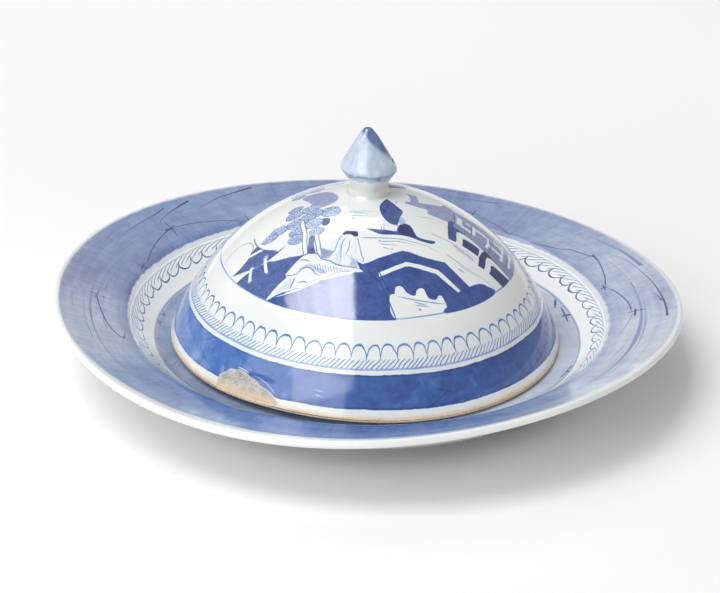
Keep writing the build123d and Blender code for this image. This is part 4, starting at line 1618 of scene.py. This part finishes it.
def drainer_mesh(material):
    """A pierced disc with softened holes, and a low foot ring let into its underside."""
    columns = 160
    points, edges, hole_rings = [], [], []
    crest = DRAINER_RADIUS - 1.0
    for count, radius in ((columns, crest), (150, 47.0), (140, 43.0), (96, 30.0), (72, 20.5), (48, 10.5)):
        first = len(points)
        points += [tuple(p) for p in circle(radius, count)]
        if radius == crest:
            edges += [(first + i, first + (i + 1) % count) for i in range(count)]
    for x, y, radius in HOLES:
        count = 48 if radius > 3 else 20
        for grow in (HOLE_BEVEL, 0.3, 0.0):
            first = len(points)
            points += [(x + px, y + py) for px, py in circle(radius + grow, count)]
            edges += [(first + i, first + (i + 1) % count) for i in range(count)]
        hole_rings.append((first, count))
    flat, faces, found = triangulated(points, edges)
    middle = flat[faces].mean(1)
    solid = np.ones(len(faces), bool)
    for x, y, radius in HOLES:
        solid &= np.hypot(middle[:, 0] - x, middle[:, 1] - y) > radius * 0.985
    faces = faces[solid]
    dip = np.zeros(len(flat))
    for x, y, radius in HOLES:
        grow = np.hypot(flat[:, 0] - x, flat[:, 1] - y) - radius
        dip = np.maximum(dip, HOLE_DIP * np.clip(1 - grow / HOLE_BEVEL, 0, 1) ** 2)
    n = len(flat)
    top = np.column_stack([flat, DRAINER_TOP - dip])
    under = np.column_stack([flat, DRAINER_TOP - DRAINER_THICK + dip])
    vertices = list(top) + list(under)
    shell = [tuple(f) for f in faces] + [tuple(f[::-1] + n) for f in faces]
    for first, count in hole_rings:
        ring = [found[first + i] for i in range(count)]
        for i in range(count):
            j = (i + 1) % count
            shell.append((ring[i], ring[j], ring[j] + n, ring[i] + n))
    # rounded outer edge
    above = [found[i] for i in range(columns)]
    last = [k + n for k in above]
    edge = [(crest + 0.6 * sin(a) + 0.4 * sin(a) ** 2, DRAINER_TOP - 1.0 + cos(a)) for a in (0.5, 1.0, 1.4)]
    edge += [(r, 2 * DRAINER_TOP - DRAINER_THICK - z) for r, z in edge[::-1]]
    for r, z in edge:
        below = [len(vertices) + i for i in range(columns)]
        vertices += list(np.column_stack([circle(r, columns), np.full(columns, z)]))
        shell += band(above, below)
        above = below
    shell += band(above, last)
    # foot ring
    foot = rounded([(45.3, 12.4), (45.0, 9.42), (42.0, 9.42), (41.7, 12.4)], (0.7, 0.7), 0.3)
    above = None
    for r, z in foot:
        below = [len(vertices) + i for i in range(columns)]
        vertices += list(np.column_stack([circle(r, columns), np.full(columns, z)]))
        if above:
            shell += band(above, below)
        above = below
    mesh = bpy.data.meshes.new("drainer_disc")
    mesh.from_pydata([tuple(np.array(v) * MM) for v in vertices], [], shell)
    mesh.update()
    mesh.shade_smooth()
    mesh.set_sharp_from_angle(angle=radians(50))
    mesh.materials.append(material)
    return shown("drainer_disc", mesh)


def drainer_material():
    """The drainer's glaze, with plain blue rings and a border of petals."""
    g = Graph("drainer_glaze")
    x, y, z = g.split(g.where)
    r = g.hypot(x, y)
    phi = g.angle(x, y)
    wander = r + g.wobble(0.8, 16.0, 2.0)
    edge = g.between(wander, 47.2, 48.8, 0.3) * (0.45 + g.noise(6.0, 3.0) * 0.5)
    fine = g.between(wander, 45.3, 45.7, 0.15) * 0.5
    eye = g.between(wander, 7.6, 8.4, 0.25) * 0.6
    petals = arches(g, phi, wander, 10.0, 44.6, 41.4, 0.3, 7.0) * 0.6
    total = g.most(g.most(edge, fine), g.most(eye, petals))
    face = g.step(z, DRAINER_TOP - 0.9, DRAINER_TOP - 0.5)
    sole = g.step(z, 10.2, 9.8)
    glaze(g, total * face, 0.2, 0.0, sole)
    return g.material


# --- assembly ---

cover = Surface(
    "cover_dome", cover_place, cover_painting(), COVER_EDGE - 1.2, COVER.length, 1.9, 288, start=4.0
)
# rings round the rim, then up the inside
cover_rows = [
    *np.arange(COVER_EDGE - 1.0, COVER_EDGE + 6.5, 0.35),
    *np.linspace(COVER_EDGE + 8, COVER.length - 2, 34),
]
cover_obj = cover.rows(cover_rows).close().build(cover_material())

dish = Surface(
    "dish_plate", dish_place, dish_painting(), LIP, DISH.length, 2.0, 360,
    bed=lambda t: 2.0 if t > 60 else 5.0,
)
# rings round the lip, then along the underside, the foot ring and the ground inside it
dish_rows = [
    *np.arange(LIP + 0.25, 102.6, 0.25),
    *np.arange(103.2, DISH.length - 62, 1.3),
    *np.arange(DISH.length - 61.8, DISH.length - 50, 0.35),
    *np.linspace(DISH.length - 49, DISH.length - 2, 12),
]
dish_obj = dish.rows(dish_rows).close().build(dish_material())

knob = Surface("knob_bud", knob_place, Canvas(), 14.0, KNOB.length, 0.35, 144)
knob_rows = list(np.arange(14.3, KNOB.length - 7.0, 0.35)) + [KNOB.length - 4]
knob_obj = knob.rows(knob_rows).close().build(knob_material())

drainer_obj = drainer_mesh(drainer_material())

for obj, body, node, slot in (
    (cover_obj, "cover", "cover", "cover_porcelain"),
    (knob_obj, "cover", "knob", "knob_porcelain"),
    (dish_obj, "dish", "dish", "dish_porcelain"),
    (drainer_obj, "drainer", "drainer", "drainer_porcelain"),
):
    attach(obj, body)
    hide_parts(node)

# --- floor, light and camera ---

FLOOR_NEAR = (0.87, 0.87, 0.87, 1)
FLOOR_FAR_LIT = (0.95, 0.95, 0.95, 1)
WORLD_STRENGTH = 0.42


def make_floor():
    """A pale sheet with painted light: a little lighter towards the far right."""
    g = Graph("studio_floor")
    x, y, z = g.split(g.where)
    # painted light: the sheet is painted lighter towards the far right
    far = g.step(y + x * 0.5, 100.0, 450.0)
    g.paint(g.mix(far, FLOOR_NEAR, FLOOR_FAR_LIT))
    g.shader.inputs["Roughness"].default_value = 0.9
    g.put(g.shader.inputs["Normal"], g.bump(g.noise(1.5, 2.0), 0.01))
    mesh = bpy.data.meshes.new("floor_sheet")
    half = 6.0
    mesh.from_pydata(
        [(-half, -half, 0), (half, -half, 0), (half, half, 0), (-half, half, 0)], [], [(0, 1, 2, 3)]
    )
    mesh.materials.append(g.material)
    obj = shown("floor_sheet", mesh)


make_floor()
world = bpy.data.worlds.new("studio")
world.use_nodes = True
world.node_tree.nodes["Background"].inputs[0].default_value = (1.0, 1.0, 1.0, 1)
world.node_tree.nodes["Background"].inputs[1].default_value = WORLD_STRENGTH
bpy.context.scene.world = world


def panel(name, corner, along, across, radiance):
    """A rectangular light from one corner and its two sides, facing the dish."""
    corner, along, across = Vector(corner), Vector(along), Vector(across)
    centre = corner + (along + across) / 2
    x_axis, y_axis = across.normalized(), along.normalized()
    z_axis = x_axis.cross(y_axis).normalized()
    if z_axis.dot(centre) < 0:
        y_axis, z_axis = -y_axis, -z_axis
    y_axis = z_axis.cross(x_axis)
    data = bpy.data.lights.new(name, "AREA")
    data.shape = "RECTANGLE"
    data.size, data.size_y = across.length, along.length
    data.energy = radiance * pi * across.length * along.length
    obj = shown(name, data)
    turn = Matrix((x_axis, y_axis, z_axis)).transposed().to_4x4()
    obj.matrix_world = Matrix.Translation(centre) @ turn


# a softbox in four strips hangs over the left of the table, hottest along its inner edge; a dim
# one hangs behind, a diffuser leans down towards the front, and a pale wall stands to the left
STRIP = 0.38
for number, radiance in enumerate((7.4, 6.8, 6.0, 5.2)):
    corner = (-0.185 - STRIP * number, -0.14, 2.0)
    panel(f"softbox_{number}", corner, (-0.09, -0.96, 0.0), (-STRIP, 0.0, -0.03), radiance)
panel("back_softbox", (0.3, 0.75, 2.0), (0.0, 1.1, -0.1), (-1.5, 0.0, 0.0), 1.3)
panel("front_diffuser", (-0.235, -1.10, 1.99), (-0.045, -0.90, -0.95), (-1.5, 0.0, -0.15), 1.6)
panel("side_wall", (-2.6, -0.6, 0.1), (2.1, -2.2, 0.0), (0.0, 0.0, 1.6), 1.3)

camera_data = bpy.data.cameras.new("camera")
camera_data.sensor_width = 36.0
camera_data.lens = 115.0
camera_data.clip_end = 50.0
camera = shown("camera", camera_data)
elevation = radians(25.19)
distance = 735.6
target = Vector((-2.19, 0.0, 23.22)) * MM
place = target + Vector((0, -cos(elevation), sin(elevation))) * distance * MM
turn = Matrix.Rotation(pi / 2 - elevation, 4, "X") @ Matrix.Rotation(radians(0.71), 4, "Z")
camera.matrix_world = Matrix.Translation(place) @ turn
bpy.context.scene.camera = camera

bpy.context.scene.view_settings.view_transform = "Standard"
bpy.context.scene.view_settings.look = "None"
